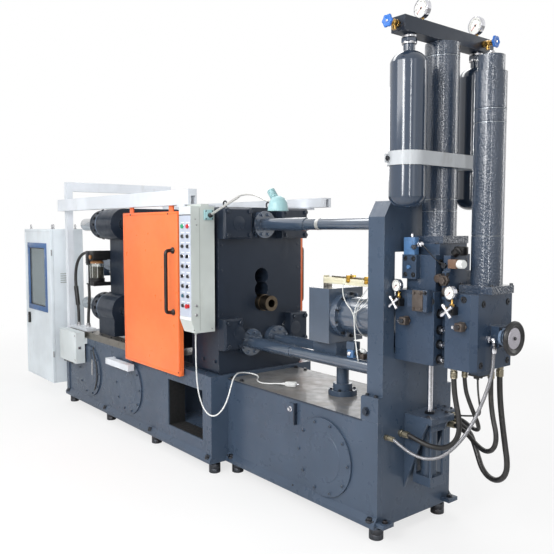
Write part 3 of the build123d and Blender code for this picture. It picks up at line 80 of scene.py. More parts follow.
X, Y, Z = Vector((1, 0, 0)), Vector((0, 1, 0)), Vector((0, 0, 1))
NEAR = -Y
DOWN = -Z

CIRCLE_PLANES = {"x": (Y, Z), "y": (X, Z), "z": (X, Y)}


def around(centre, axis, radius, count, start=0, step=None):
    """Points on a circle about an axis, from the angle start on by equal steps, in degrees."""
    first, second = CIRCLE_PLANES[axis]
    for i in range(count):
        angle = math.radians(start + i * (step or 360 / count))
        yield Vector(centre) + (first * math.cos(angle) + second * math.sin(angle)) * radius


# Axes and faces that the fittings sit on, in millimetres, taken from the solids
BAR_X, VALVE_Z, BAR_TOP = middle("gas_bar").x, middle("gas_bar").z, span("gas_bar")[1].z
LEFT_FACE, RIGHT_FACE = span("left_manifold")[0].y, span("right_manifold")[0].y
WHEEL_Z = middle("handwheel").z
SHOT_Z = middle("shot_cylinder").z
LIFT_X, LIFT_TOP = middle("lift_cylinder").x, span("lift_cylinder")[1].z
PLATEN_TOP, PLATEN_HALF = span("fixed_platen")[1].z, span("fixed_platen")[1].y
FRONT_DOOR, REAR_DOOR = span("front_door")[0].y, span("rear_door")[1].y
BOX_SIDE = span("button_box")[1].x
CABINET_TOP, CABINET_SIDE = span("cabinet")[1].z, span("cabinet")[1].x
JUNCTION_FRONT = span("junction_box")[0].y

# The two needle valves on the blocks' near faces, and the way their gauges look
NEEDLE_VALVES = (("left", 41, LEFT_FACE, 1340), ("right", 379, RIGHT_FACE, 1323))
GAUGE_FACING = (-0.139, -0.990, 0)

# Camera of the photograph, from its vanishing lines
CAMERA_PLACE = (4.640, -3.070, 1.740)
CAMERA_TURN = (85.807, 0.0, 51.023)

# Routes of the hoses and of the cord, in millimetres from the datum
HOSE_A = [(470, 100, 960), (472, 100, 890), (482, 97, 800), (500, 92, 700), (524, 84, 590), (538, 80, 530),
    (538, 80, 471), (509, 88, 421), (459, 103, 392), (401, 121, 392), (351, 136, 421), (318, 150, 471),
    (275, 172, 535), (218, 205, 588), (150, 215, 610)]
HOSE_B = [(470, 20, 960), (470, 20, 890), (478, 17, 815), (497, 9, 745), (520, 0, 690), (524, -4, 636),
    (500, 5, 592), (458, 22, 567), (408, 45, 562), (345, 75, 574), (280, 108, 595), (215, 145, 606),
    (150, 165, 610)]
HOSE_C = [(530, -55, 1110), (530, -58, 1040), (522, -66, 970), (505, -80, 895), (482, -98, 815),
    (455, -120, 735), (420, -146, 660), (372, -172, 592), (312, -196, 540), (240, -218, 520),
    (170, -238, 533), (110, -254, 562), (62, -262, 590)]
HOSE_D = [(345, -125, 960), (348, -125, 900), (362, -125, 830), (380, -124, 760), (385, -122, 690),
    (360, -120, 625), (305, -120, 578), (235, -122, 560), (165, -128, 565), (108, -134, 580),
    (62, -138, 590)]
HOSE_E = [(365, -60, 960), (370, -60, 900), (390, -52, 835), (415, -40, 770), (425, -15, 710),
    (400, 25, 670), (340, 72, 650), (275, 115, 651), (210, 150, 658), (150, 165, 660)]
CABLE_F = [(455, -75, 984), (455, -75, 938), (466, -82, 885), (474, -80, 835), (462, -56, 790),
    (415, 2, 757), (335, 92, 722), (240, 190, 680), (150, 215, 658)]
LUBE_NEAR = [(-3632, -380, 1505), (-3720, -386, 1507), (-3810, -395, 1480), (-3880, -403, 1420),
    (-3917, -408, 1340), (-3926, -410, 1250), (-3914, -411, 1160), (-3892, -410, 1070), (-3876, -409, 980),
    (-3869, -408, 895), (-3870, -408, 819)]
LUBE_FAR = [(-3632, -345, 1465), (-3688, -347, 1461), (-3728, -350, 1415), (-3745, -352, 1350),
    (-3746, -353, 1270), (-3737, -354, 1190), (-3723, -357, 1110), (-3717, -362, 1030), (-3720, -368, 950),
    (-3726, -371, 880), (-3726, -372, 819)]
POWER_CORD = [(-1562, -505, 992), (-1562, -505, 880), (-1553, -508, 760), (-1540, -511, 650),
    (-1512, -509, 550), (-1463, -505, 475), (-1400, -498, 440), (-1335, -484, 452), (-1288, -462, 505),
    (-1270, -435, 575), (-1282, -402, 645), (-1310, -360, 702), (-1346, -300, 722), (-1378, -240, 713),
    (-1385, -180, 702), (-1352, -134, 690), (-1300, -142, 681), (-1262, -186, 680), (-1210, -226, 680),
    (-1145, -238, 680), (-1085, -222, 683), (-1035, -186, 689), (-990, -152, 689)]


def shade(name, description, default):
    """A colour as it looks on screen."""
    return FloatVectorProperty(
        name=name, description=description, subtype="COLOR_GAMMA", size=3, default=default, min=0, max=1)


def radius(name, description, default):
    """A radius in metres."""
    return FloatProperty(name=name, description=description, default=default, min=0, unit="LENGTH")


def strength(name, description, default):
    """The power or strength of a light."""
    return FloatProperty(name=name, description=description, default=default, min=0)


class MachineColours(bpy.types.PropertyGroup):
    """Colours of the paints, plastics and hoses, as they look on screen."""
    blue_enamel: shade("Blue enamel",
        "Slate blue-grey enamel of bed, platens and blocks", (0.238, 0.291, 0.360))
    dark_enamel: shade("Dark enamel",
        "Glossy dark enamel of the bottles and accumulators", (0.168, 0.215, 0.280))
    platen_enamel: shade("Platen enamel", "Darker enamel of the platens and flanges", (0.128, 0.162, 0.212))
    block_enamel: shade("Block enamel", "Deeper blue enamel of the hydraulic blocks", (0.182, 0.238, 0.312))
    strap_enamel: shade("Strap enamel", "Grey-white enamel of the bottle straps", (0.670, 0.685, 0.700))
    white_enamel: shade("White enamel", "Off-white enamel of the guard frame", (0.835, 0.855, 0.880))
    orange_enamel: shade("Orange enamel", "Orange enamel of the guard doors", (0.985, 0.475, 0.255))
    cabinet_enamel: shade("Cabinet enamel", "Bluish white enamel of the cabinet", (0.850, 0.880, 0.900))
    box_enamel: shade("Control box enamel",
        "Pale grey-green enamel of the control box", (0.745, 0.770, 0.755))
    junction_enamel: shade("Junction box enamel",
        "Pale enamel of the junction box by the cabinet", (0.815, 0.845, 0.850))
    mint_enamel: shade("Lamp enamel", "Mint green enamel of the work lamp", (0.575, 0.715, 0.730))
    window_blue: shade("Window frame", "Blue frame of the cabinet's window", (0.270, 0.400, 0.580))
    knob_blue: shade("Valve knobs", "Blue moulded knobs of the gas valves", (0.190, 0.430, 0.760))
    hose_black: shade("Hoses", "Black rubber of the hydraulic hoses", (0.125, 0.122, 0.122))
    cord_white: shade("Cord", "White sheath of the lamp's cord and plug", (0.900, 0.905, 0.900))


class MachineSizes(bpy.types.PropertyGroup):
    """Radii of the hoses, screws and rounded edges, in metres."""
    edge_round: radius("Edge round", "Radius of the painted edges", 0.004)
    screw_radius: radius("Screw head", "Radius of the large socket screws' heads", 0.0125)
    hose_a: radius("Hose A", "Radius of the lowest hose", 0.015)
    hose_b: radius("Hose B", "Radius of the middle hose", 0.013)
    hose_c: radius("Hose C", "Radius of the braided hose", 0.009)
    hose_d: radius("Hose D", "Radius of the near hose", 0.014)
    hose_e: radius("Hose E", "Radius of the short hose", 0.011)
    cable_f: radius("Cable F", "Radius of the thin cable", 0.005)
    lube_hose: radius("Pump hoses", "Radius of the lubrication pump's hoses", 0.014)
    power_cord: radius("Cord", "Radius of the lamp's cord", 0.005)


class StageSettings(bpy.types.PropertyGroup):
    """Camera and lights."""
    lens: FloatProperty(name="Lens", description="Focal length in millimetres", default=43.36, min=1)
    key_power: strength("Key light", "Power of the large front light", 160)
    fill_power: strength("Fill light", "Power of the tall light at the shot end", 9)
    side_power: strength("Side light", "Power of the light on the faces of the guard and the cabinet", 58)
    top_power: strength("Top light", "Power of the overhead light", 142)
    world_strength: strength("World", "Strength of the room's even light", 0.36)
    streak_power: strength("Streak lights",
        "Power of the two narrow lights that draw lines on the bottles", 26)
    floor_glow: FloatProperty(name="Floor glow",
        description="Share of the floor's own white that the camera sees", default=0.72, min=0, max=1)


def colours():
    return bpy.context.scene.machine_colours


def sizes():
    return bpy.context.scene.machine_sizes


def linear(srgb):
    """A screen colour as the shader's RGBA."""
    tint = Color(srgb).from_srgb_to_scene_linear()
    return (tint.r, tint.g, tint.b, 1.0)


class Finish:
    """A material's nodes, added one after another."""

    def __init__(self, name):
        self.material = bpy.data.materials.new(name)
        self.material.use_nodes = True
        self.tree = self.material.node_tree
        self.shader = self.tree.nodes["Principled BSDF"]
        self.where = self.add("ShaderNodeTexCoord").outputs["Object"]

    def add(self, kind, settings=(), **inputs):
        node = self.tree.nodes.new(kind)
        for key, value in dict(settings).items():
            setattr(node, key, value)
        for key, value in inputs.items():
            self.feed(node.inputs[key.replace("_", " ") if not key[1:].isdigit() else int(key[1:])], value)
        return node

    def feed(self, socket, value):
        if isinstance(value, bpy.types.NodeSocket):
            self.tree.links.new(value, socket)
        else:
            socket.default_value = value

    def put(self, **inputs):
        for key, value in inputs.items():
            self.feed(self.shader.inputs[key.replace("_", " ")], value)

    def noise(self, scale, detail=4.0, rough=0.55, where=None):
        made = self.add("ShaderNodeTexNoise", Scale=scale, Detail=detail, Roughness=rough)
        self.feed(made.inputs["Vector"], where or self.where)
        return made.outputs["Fac"]

    def stretched(self, x, y, z):
        made = self.add("ShaderNodeMapping", Scale=(x, y, z))
        self.feed(made.inputs["Vector"], self.where)
        return made.outputs["Vector"]

    def band(self, value, low, high, out_low=0.0, out_high=1.0):
        made = self.add("ShaderNodeMapRange", {"interpolation_type": "SMOOTHSTEP"})
        for index, item in enumerate((value, low, high, out_low, out_high)):
            self.feed(made.inputs[index], item)
        return made.outputs[0]

    def calc(self, kind, first, second):
        made = self.add("ShaderNodeMath", {"operation": kind, "use_clamp": True})
        self.feed(made.inputs[0], first)
        self.feed(made.inputs[1], second)
        return made.outputs[0]

    def blend(self, share, first, second):
        made = self.add("ShaderNodeMix", {"data_type": "RGBA"})
        self.feed(made.inputs[0], share)
        self.feed(made.inputs[6], first)
        self.feed(made.inputs[7], second)
        return made.outputs[2]

    def bump(self, height, strength, distance, normal=None):
        made = self.add("ShaderNodeBump", Strength=strength, Distance=distance)
        self.feed(made.inputs["Height"], height)
        if normal:
            self.feed(made.inputs["Normal"], normal)
        return made.outputs["Normal"]

    def edges(self, radius):
        """A rounded normal, and how near the point is to an edge."""
        rounded = self.add("ShaderNodeBevel", {"samples": 6}, Radius=radius).outputs["Normal"]
        flat = self.add("ShaderNodeNewGeometry").outputs["True Normal"]
        both = self.add("ShaderNodeVectorMath", {"operation": "DOT_PRODUCT"})
        self.feed(both.inputs[0], rounded)
        self.feed(both.inputs[1], flat)
        return rounded, self.band(both.outputs["Value"], 0.995, 0.86)

    def facing_up(self):
        """How far the surface faces up, from zero to one."""
        normal = self.add("ShaderNodeNewGeometry").outputs["Normal"]
        return self.band(self.add("ShaderNodeSeparateXYZ", Vector=normal).outputs["Z"], 0.6, 0.95)


def enamel(name, tint, rough=0.32, round_edge=None, wear=0.5, dirt=0.24, peel=0.12, top=None, worn=None,
           coat=0.12, shine=0.32, ripple=0.0012):
    """Sprayed enamel: orange peel, soft dirt, chips and rubbed edges."""
    made = Finish(name)
    base = linear(tint)
    pale = linear([min(1.0, c * 1.06 + 0.01) for c in tint])
    grimy = linear([c * k for c, k in zip(tint, (0.70, 0.66, 0.60))])
    cloud = made.band(made.noise(2.3, 3.0), 0.35, 0.68)
    colour = made.blend(cloud, base, pale)
    smear = made.band(made.noise(9.0, 6.0, 0.62, made.stretched(1.0, 1.0, 0.35)), 0.55, 0.78, 0.0, dirt)
    colour = made.blend(smear, colour, grimy)
    speck = made.band(made.noise(120.0, 3.0, 0.5), 0.69, 0.74, 0.0, dirt * 0.5)
    colour = made.blend(speck, colour, grimy)
    normal = None
    gloss = made.band(made.noise(16.0, 5.0), 0.3, 0.75, rough * 0.8, min(1.0, rough * 1.35))
    if round_edge is None:
        round_edge = sizes().edge_round
    if round_edge:
        normal, edge = made.edges(round_edge)
        chip = made.calc("MULTIPLY", edge, made.band(made.noise(60.0, 5.0, 0.6), 0.48, 0.60, 0.0, wear))
        colour = made.blend(chip, colour, linear(worn or (0.52, 0.53, 0.55)))
    if top:
        up = made.calc("MULTIPLY", made.facing_up(),
            made.band(made.noise(3.0, 5.0, 0.6), 0.30, 0.50, 0.55, 1.0))
        colour = made.blend(up, colour, top(made))
        gloss = made.calc("ADD", gloss, made.calc("MULTIPLY", up, 0.10))
    made.put(Base_Color=colour, Roughness=gloss)
    made.shader.inputs["Specular IOR Level"].default_value = shine
    made.shader.inputs["Coat Weight"].default_value = coat
    made.shader.inputs["Coat Roughness"].default_value = 0.12
    waves = made.noise(90.0, 2.0, 0.5)
    made.put(Normal=made.bump(waves, peel, ripple,
        made.bump(made.noise(7.0, 2.0), peel * 0.8, 0.006, normal)))
    return made.material


def bare_top(made):
    """Stained bare steel plate, for the top of the base."""
    grain = made.noise(14.0, 6.0, 0.65, made.stretched(0.8, 1.2, 1.0))
    stain = made.band(made.noise(2.6, 6.0, 0.6), 0.42, 0.66)
    plate = made.blend(made.band(grain, 0.3, 0.7), linear((0.44, 0.44, 0.438)), linear((0.53, 0.53, 0.528)))
    return made.blend(stain, plate, linear((0.43, 0.405, 0.385)))


def bare_metal(name, tint, rough=0.3, brush=(1.0, 1.0, 1.0), stain=0.3, stain_tint=(0.33, 0.26, 0.20),
        round_edge=0.0015, metal=1.0):
    """Machined or polished metal with brush marks, oil and stains."""
    made = Finish(name)
    marks = made.noise(45.0, 6.0, 0.7, made.stretched(*brush))
    colour = made.blend(made.band(marks, 0.3, 0.7), linear([c * 0.86 for c in tint]), linear(tint))
    patch = made.band(made.noise(11.0, 6.0, 0.65), 0.50, 0.72, 0.0, stain)
    colour = made.blend(patch, colour, linear(stain_tint))
    gloss = made.calc("ADD", made.band(marks, 0.2, 0.8, rough * 0.75, rough * 1.3),
        made.calc("MULTIPLY", patch, 0.3))
    normal = made.edges(round_edge)[0] if round_edge else None
    made.put(Base_Color=colour, Roughness=gloss, Metallic=metal,
        Normal=made.bump(marks, 0.10, 0.0006, normal))
    return made.material


def moulded(name, tint, rough=0.42, grain=0.15):
    """Moulded plastic with a fine grain and a little dust."""
    made = Finish(name)
    dust = made.band(made.noise(25.0, 5.0, 0.6), 0.52, 0.78, 0.0, 0.35)
    colour = made.blend(dust, linear(tint), linear([min(1.0, c * 0.85 + 0.05) for c in tint]))
    gloss = made.band(made.noise(40.0, 3.0), 0.3, 0.7, rough * 0.85, rough * 1.2)
    made.put(Base_Color=colour, Roughness=gloss, Normal=made.bump(made.noise(900.0, 2.0), grain, 0.0004))
    return made.material


def rubber(name, tint):
    """Hose rubber, rubbed and dusty."""
    made = Finish(name)
    rub = made.band(made.noise(34.0, 6.0, 0.7), 0.50, 0.76, 0.0, 0.55)
    colour = made.blend(rub, linear(tint), linear((0.30, 0.27, 0.25)))
    dust = made.band(made.noise(8.0, 4.0), 0.5, 0.8, 0.0, 0.35)
    colour = made.blend(dust, colour, linear((0.24, 0.235, 0.23)))
    grain = made.noise(260.0, 4.0, 0.6)
    made.put(Base_Color=colour, Roughness=made.band(rub, 0.0, 0.6, 0.38, 0.62),
        Normal=made.bump(grain, 0.25, 0.0008))
    return made.material


def braid(name):
    """Silver braid of the thin hose: two crossing sets of bright strands."""
    made = Finish(name)
    first = made.add("ShaderNodeTexWave", {"bands_direction": "DIAGONAL"}, Scale=95.0, Distortion=0.4)
    second = made.add("ShaderNodeTexWave", {"bands_direction": "Z"}, Scale=150.0, Distortion=0.6)
    for wave in (first, second):
        made.feed(wave.inputs["Vector"], made.where)
    strand = made.calc("MULTIPLY", first.outputs["Fac"], second.outputs["Fac"])
    colour = made.blend(made.band(strand, 0.05, 0.6), linear((0.34, 0.34, 0.35)), linear((0.78, 0.78, 0.80)))
    made.put(Base_Color=colour, Metallic=0.75, Roughness=0.36, Normal=made.bump(strand, 0.35, 0.0008))
    return made.material


def clear(name, tint=(1.0, 1.0, 1.0), rough=0.03, see_through=1.0):
    """Thin clear glass or plastic, faintly dusty."""
    made = Finish(name)
    dust = made.band(made.noise(30.0, 4.0), 0.4, 0.8, rough, rough + 0.08)
    made.put(Base_Color=linear(tint), Roughness=dust)
    made.shader.inputs["Transmission Weight"].default_value = see_through
    made.shader.inputs["IOR"].default_value = 1.15
    return made.material


FINISHES = {}


def make_finishes():
    """Every material of the machine, by name."""
    tint = colours()
    FINISHES.update(
        blue=enamel("blue_enamel", tint.blue_enamel, dirt=0.12),
        blue_base=enamel("blue_enamel_base", tint.blue_enamel, dirt=0.12, top=bare_top),
        block=enamel("block_enamel", tint.block_enamel, rough=0.30),
        platen=enamel("platen_enamel", tint.platen_enamel, rough=0.36, wear=0.7, shine=0.22),
        dark=enamel("dark_enamel", tint.dark_enamel, rough=0.14, wear=0.4, dirt=0.3, peel=0.9, coat=0.5,
            shine=0.6, ripple=0.0045),
        dark_smooth=enamel("dark_enamel_smooth", tint.dark_enamel, rough=0.12, wear=0.2, dirt=0.15,
            peel=0.06, coat=0.4, shine=0.5),
        rod=enamel("rod_enamel", tint.blue_enamel, rough=0.15, dirt=0.25, peel=0.05, coat=1.0, shine=0.8),
        strap=enamel("strap_enamel", tint.strap_enamel, rough=0.42, wear=0.4, dirt=0.40),
        white=enamel("white_enamel", tint.white_enamel, rough=0.36, wear=0.35, dirt=0.22),
        orange=enamel("orange_enamel", tint.orange_enamel, rough=0.34, wear=0.25, dirt=0.10, peel=0.08,
            worn=(0.62, 0.25, 0.14)),
        cabinet=enamel("cabinet_enamel", tint.cabinet_enamel, rough=0.42, wear=0.2, dirt=0.14, peel=0.25),
        box=enamel("box_enamel", tint.box_enamel, rough=0.40, wear=0.3, dirt=0.18, peel=0.2),
        junction=enamel("junction_enamel", tint.junction_enamel, rough=0.42, wear=0.2, dirt=0.14, peel=0.25),
        mint=enamel("mint_enamel", tint.mint_enamel, rough=0.30, round_edge=0.0015, wear=0.4, dirt=0.2),
        window_blue=enamel("window_blue", tint.window_blue, rough=0.35, round_edge=0.002, wear=0.2,
            dirt=0.15),
        blue_fine=enamel("blue_enamel_fine", tint.blue_enamel, round_edge=0.0),
        platen_fine=enamel("platen_enamel_fine", tint.platen_enamel, round_edge=0.0),
        ground=bare_metal("ground_steel", (0.80, 0.81, 0.82), 0.16, (0.3, 6.0, 6.0), 0.10),
        worn=bare_metal("worn_steel", (0.60, 0.58, 0.55), 0.36, (1.0, 4.0, 1.0), 0.55, (0.30, 0.26, 0.22)),
        rusty=bare_metal("rusty_steel", (0.37, 0.34, 0.32), 0.50, (1.0, 1.0, 1.0), 0.7, (0.27, 0.20, 0.16),
            round_edge=0.002, metal=0.6),
        sleeve=bare_metal("sleeve_steel", (0.42, 0.38, 0.325), 0.30, (6.0, 0.5, 6.0), 0.5,
            (0.25, 0.19, 0.14)),
        zinc=bare_metal("zinc_steel", (0.66, 0.63, 0.55), 0.30, (1.0, 1.0, 4.0), 0.45, (0.36, 0.33, 0.25),
            0.0),
        screw=bare_metal("screw_steel", (0.30, 0.31, 0.33), 0.34, (1.0, 1.0, 1.0), 0.3, round_edge=0.0),
        chrome=bare_metal("bright_chrome", (0.90, 0.90, 0.92), 0.10, (1.0, 1.0, 1.0), 0.06, round_edge=0.0),
        satin=bare_metal("satin_steel", (0.72, 0.72, 0.73), 0.28, (1.0, 6.0, 6.0), 0.12, round_edge=0.0),
        brass=bare_metal("valve_brass", (0.80, 0.64, 0.36), 0.28, (1.0, 1.0, 1.0), 0.35, (0.40, 0.28, 0.14),
            0.0),
        black=moulded("black_plastic", (0.085, 0.085, 0.090), 0.36),
        knob=moulded("blue_knobs", tint.knob_blue, 0.38),
        pale=moulded("pale_plastic", (0.86, 0.87, 0.86), 0.45),
        cord=moulded("white_cord", tint.cord_white, 0.40),
        red=moulded("red_plastic", (0.78, 0.14, 0.16), 0.30),
        green=moulded("green_plastic", (0.13, 0.60, 0.42), 0.30),
        amber=moulded("amber_plastic", (0.60, 0.43, 0.27), 0.30),
        hose=rubber("hose_rubber", tint.hose_black),
        pump_hose=rubber("pump_hose_rubber", (0.13, 0.13, 0.135)),
        braid=braid("hose_braid"),
        dial=moulded("gauge_dial", (0.93, 0.93, 0.91), 0.35, 0.05),
        # Pale metal for the rings at the bottles' seams: painted highlight along the seam edges
        seam=bare_metal("seam_highlight", (0.74, 0.77, 0.80), 0.30, (1.0, 1.0, 4.0), 0.4, (0.30, 0.33, 0.37),
            0.0),
        disc=bare_metal("wheel_disc", (0.80, 0.79, 0.82), 0.40, (1.0, 4.0, 4.0), 0.2, (0.55, 0.53, 0.52),
            0.0),
        satin_blue=enamel("flange_enamel", (0.40, 0.47, 0.56), rough=0.30, round_edge=0.0),
        # Near-black painted shadow: counterbore rings, door lift holes, narrow gaps, the slab under the
        # cabinet and the chute's lining
        shadow=moulded("painted_shadow", (0.045, 0.050, 0.055), 0.75),
        pilot=enamel("pilot_enamel", (0.28, 0.42, 0.58), rough=0.35, round_edge=0.002, wear=0.6, dirt=0.45),
        rust_paint=enamel("rusty_case", (0.40, 0.31, 0.25), rough=0.45, round_edge=0.002, dirt=0.6),
        pale_metal=bare_metal("arm_steel", (0.84, 0.84, 0.83), 0.30, (4.0, 1.0, 1.0), 0.25,
            (0.45, 0.45, 0.44), 0.0, metal=0.6),
        plate=enamel("front_plate", (0.72, 0.75, 0.81), rough=0.34, round_edge=0.0, dirt=0.12, peel=0.03),
        label=moulded("label_plate", (0.90, 0.91, 0.92), 0.40, 0.05),
        seam_shade=moulded("box_seam", (0.60, 0.62, 0.61), 0.50),
        teal=moulded("teal_button", (0.12, 0.34, 0.42), 0.30),
        oil=moulded("pump_oil", (0.42, 0.41, 0.385), 0.25, 0.02),
        cream=enamel("cream_rail", (0.86, 0.84, 0.74), rough=0.38, round_edge=0.001, dirt=0.45),
        brass_yellow=bare_metal("switch_brass", (0.86, 0.68, 0.30), 0.26, (1.0, 1.0, 1.0), 0.3,
            (0.42, 0.30, 0.14), 0.001),
        glass=clear("window_glass", (0.80, 0.84, 0.85), 0.04, 0.72),
        jar=clear("jar_plastic", (0.86, 0.87, 0.86), 0.12))


# Which finish each CAD node wears
NODE_FINISHES = {
    "blue": (
        "clamp_bed", "inspection_covers", "levelling_feet", "end_frame", "cylinder_support", "lift_cylinder",
        "lift_bracket"),
    "block": ("left_manifold", "right_manifold", "valve_stack"),
    "blue_base": ("injection_base",),
    "platen": ("fixed_platen", "moving_platen", "rear_platen", "tie_bar_nuts", "toggle_links", "gas_bar"),
    "rod": ("shot_tie_rods", "shot_front_block", "shot_cylinder", "clamp_cylinder"),
    "dark": ("accumulators",),
    "dark_smooth": ("gas_bottles",),
    "ground": ("tie_bars",),
    "worn": ("guide_rails", "sensor_rail"),
    "sleeve": ("shot_sleeve",),
    "white": ("guard_frame", "side_brackets"),
    "strap": ("bottle_straps",),
    "orange": ("front_door", "rear_door"),
    "cabinet": ("cabinet", "cabinet_door"),
    "window_blue": ("cabinet_window",),
    "box": ("button_box",),
    "junction": ("junction_box",),
    "mint": ("work_lamp",),
    "chrome": ("cross_handle_left", "cross_handle_right"),
    "knob": ("valve_wheel_near", "valve_wheel_far"),
    "brass": ("gas_valves",),
    "satin": ("pressure_gauges",),
    "black": ("handwheel", "front_door_handle", "rear_door_handle", "lube_pump", "push_buttons"),
    "zinc": ("hose_fittings",),
    "hose": ("hose_a", "hose_b", "hose_d", "hose_e", "cable_f", "lube_hose_near", "lube_hose_far"),
    "braid": ("hose_c",),
    "cord": ("power_cord", "power_plug"),
}


class Shape:
    """A mesh that grows piece by piece, in millimetres from the datum, and becomes one object."""

    def __init__(self):
        self.mesh = bmesh.new()
        self.names = []

    def paint(self, faces, finish):
        if finish not in self.names:
            self.names.append(finish)
        for face in faces:
            face.material_index = self.names.index(finish)

    def basis(self, base, axis, turn=0.0):
        rotation = Vector(axis).normalized().to_track_quat("Z", "Y").to_matrix().to_4x4()
        return Matrix.Translation(Vector(base)) @ rotation @ Matrix.Rotation(turn, 4, "Z")

    def box(self, low, high, finish, bevel=2, steps=2):
        """A block between two corners with rounded edges."""
        low, high = Vector(low), Vector(high)
        size = Matrix.Diagonal((*(high - low), 1.0))
        made = bmesh.ops.create_cube(self.mesh, size=1.0, matrix=Matrix.Translation((low + high) / 2) @ size)
        self.finish_block(made["verts"], finish, bevel, steps)

    def turned_box(self, base, axis, size, finish, bevel=2, turn=0.0):
        """A block of size (width, depth, height) that stands on base along axis."""
        lift = Matrix.Translation((0, 0, size[2] / 2)) @ Matrix.Diagonal((*size, 1.0))
        made = bmesh.ops.create_cube(self.mesh, size=1.0, matrix=self.basis(base, axis, turn) @ lift)
        self.finish_block(made["verts"], finish, bevel, 2)

    def finish_block(self, verts, finish, bevel, steps):
        self.paint({face for vert in verts for face in vert.link_faces}, finish)
        self.soften({edge for vert in verts for edge in vert.link_edges}, bevel, steps)

    def soften(self, edges, bevel, steps=2):
        """Rounds edges; the new faces keep their neighbours' finish."""
        if bevel:
            bmesh.ops.bevel(self.mesh, geom=list(edges), offset=bevel, segments=steps, affect="EDGES",
                profile=0.5, material=-1)

    def lathe(self, base, axis, outline, finish, steps=28, turn=0.0, lobes=(0, 0.0)):
        """A turned form: outline is a list of (radius, distance along the axis).

        Lobes are a knob's: how many, and how deep as a share of the radius.
        """
        basis = self.basis(base, axis, turn)
        rings = []
        for radius, along in outline:
            if radius <= 0:
                rings.append([self.mesh.verts.new(basis @ Vector((0, 0, along)))])
                continue
            ring = []
            for i in range(steps):
                angle = 2 * math.pi * i / steps
                reach = radius * (1 - lobes[1] * (0.5 - 0.5 * math.cos(lobes[0] * angle)))
                spot = Vector((reach * math.cos(angle), reach * math.sin(angle), along))
                ring.append(self.mesh.verts.new(basis @ spot))
            rings.append(ring)
        faces = []
        for first, second in zip(rings, rings[1:]):
            for i in range(steps):
                j = (i + 1) % steps
                corners = [first[i % len(first)], first[j % len(first)], second[j % len(second)],
                           second[i % len(second)]]
                corners = list(dict.fromkeys(corners))
                if len(corners) > 2:
                    faces.append(self.mesh.faces.new(corners))
        for ring, backwards in ((rings[0], True), (rings[-1], False)):
            if len(ring) > 2:
                faces.append(self.mesh.faces.new(list(reversed(ring)) if backwards else ring))
        self.paint(faces, finish)

    def spoke(self, base, axis, angle, reach, size, finish):
        """A small bar on a round face, turned by angle and set out from the middle."""
        basis = self.basis(base, axis) @ Matrix.Rotation(-angle, 4, "Z")
        lift = Matrix.Translation((0, reach, size[2] / 2)) @ Matrix.Diagonal((*size, 1.0))
        made = bmesh.ops.create_cube(self.mesh, size=1.0, matrix=basis @ lift)
        self.finish_block(made["verts"], finish, 0.0, 1)

    def prism(self, base, axis, radius, height, sides, finish, chamfer=0.0, turn=0.0):
        """A many-sided bar, such as a hexagon nut, with its corners turned off."""
        outline = [(radius - chamfer, 0), (radius, chamfer), (radius, height - chamfer),
            (radius - chamfer, height)]
        self.lathe(base, axis, outline if chamfer else [(radius, 0), (radius, height)], finish, sides, turn)

    def hex_screw(self, base, axis, radius, finish="screw", washer=True, turn=0.3):
        """A hexagon head on its washer."""
        base, axis = Vector(base), Vector(axis).normalized()
        rise = radius * 0.22 if washer else 0
        if washer:
            self.lathe(base, axis, [(radius * 1.35, 0), (radius * 1.35, rise)], finish, 20)
        self.prism(base + axis * rise, axis, radius, radius * 0.75, 6, finish, radius * 0.08, turn)

    def socket_screw(self, base, axis, radius, finish="screw", height=None):
        """A cap screw with its hexagon socket."""
        height = height or radius * 1.1
        soft = radius * 0.1
        self.lathe(base, axis, [(radius, 0), (radius, height - soft), (radius - soft, height),
            (radius * 0.58, height), (radius * 0.52, height * 0.55), (0, height * 0.55)], finish, 18)

    def pipe(self, points, radius, finish, steps=10):
        """A bent pipe along points, smoothed at its corners."""
        route = [Vector(p) for p in points]
        for _ in range(2):
            cut = [a.lerp(b, share) for a, b in zip(route, route[1:]) for share in (0.25, 0.75)]
            route = [route[0], *cut, route[-1]]
        rings = []
        side = None
        for i, point in enumerate(route):
            ahead = (route[min(i + 1, len(route) - 1)] - route[max(i - 1, 0)]).normalized()
            if side is None:
                side = ahead.orthogonal().normalized()
            side = (side - ahead * side.dot(ahead)).normalized()
            other = ahead.cross(side)
            rings.append([self.mesh.verts.new(point + (side * math.cos(a) + other * math.sin(a)) * radius)
                for a in (2 * math.pi * k / steps for k in range(steps))])
        faces = []
        for first, second in zip(rings, rings[1:]):
            for i in range(steps):
                j = (i + 1) % steps
                faces.append(self.mesh.faces.new((first[i], first[j], second[j], second[i])))
        faces.append(self.mesh.faces.new(list(reversed(rings[0]))))
        faces.append(self.mesh.faces.new(rings[-1]))
        self.paint(faces, finish)

    def panel(self, corners, depth, finish, bevel=0.0):
        """A sheet: a flat outline pushed out along depth."""
        first = [self.mesh.verts.new(c) for c in corners]
        second = [self.mesh.verts.new(Vector(c) + Vector(depth)) for c in corners]
        faces = [self.mesh.faces.new(first), self.mesh.faces.new(list(reversed(second)))]
        for i in range(len(corners)):
            j = (i + 1) % len(corners)
            faces.append(self.mesh.faces.new((first[j], first[i], second[i], second[j])))
        self.paint(faces, finish)
        self.soften({edge for face in faces for edge in face.edges}, bevel)

    def done(self, name, body="machine", stands_for=(), sharp=38):
        """Turns the mesh into an object that rides on a body."""
        for vert in self.mesh.verts:
            vert.co = place(*vert.co)
        bmesh.ops.recalc_face_normals(self.mesh, faces=self.mesh.faces[:])
        data = bpy.data.meshes.new(name)
        self.mesh.to_mesh(data)
        self.mesh.free()
        for finish in self.names:
            data.materials.append(FINISHES[finish])
        data.shade_smooth()
        data.set_sharp_from_angle(angle=math.radians(sharp))
        piece = bpy.data.objects.new(name, data)
        bpy.context.scene.collection.objects.link(piece)
        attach(piece, body)
        if stands_for:
            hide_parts(*stands_for)
        return piece


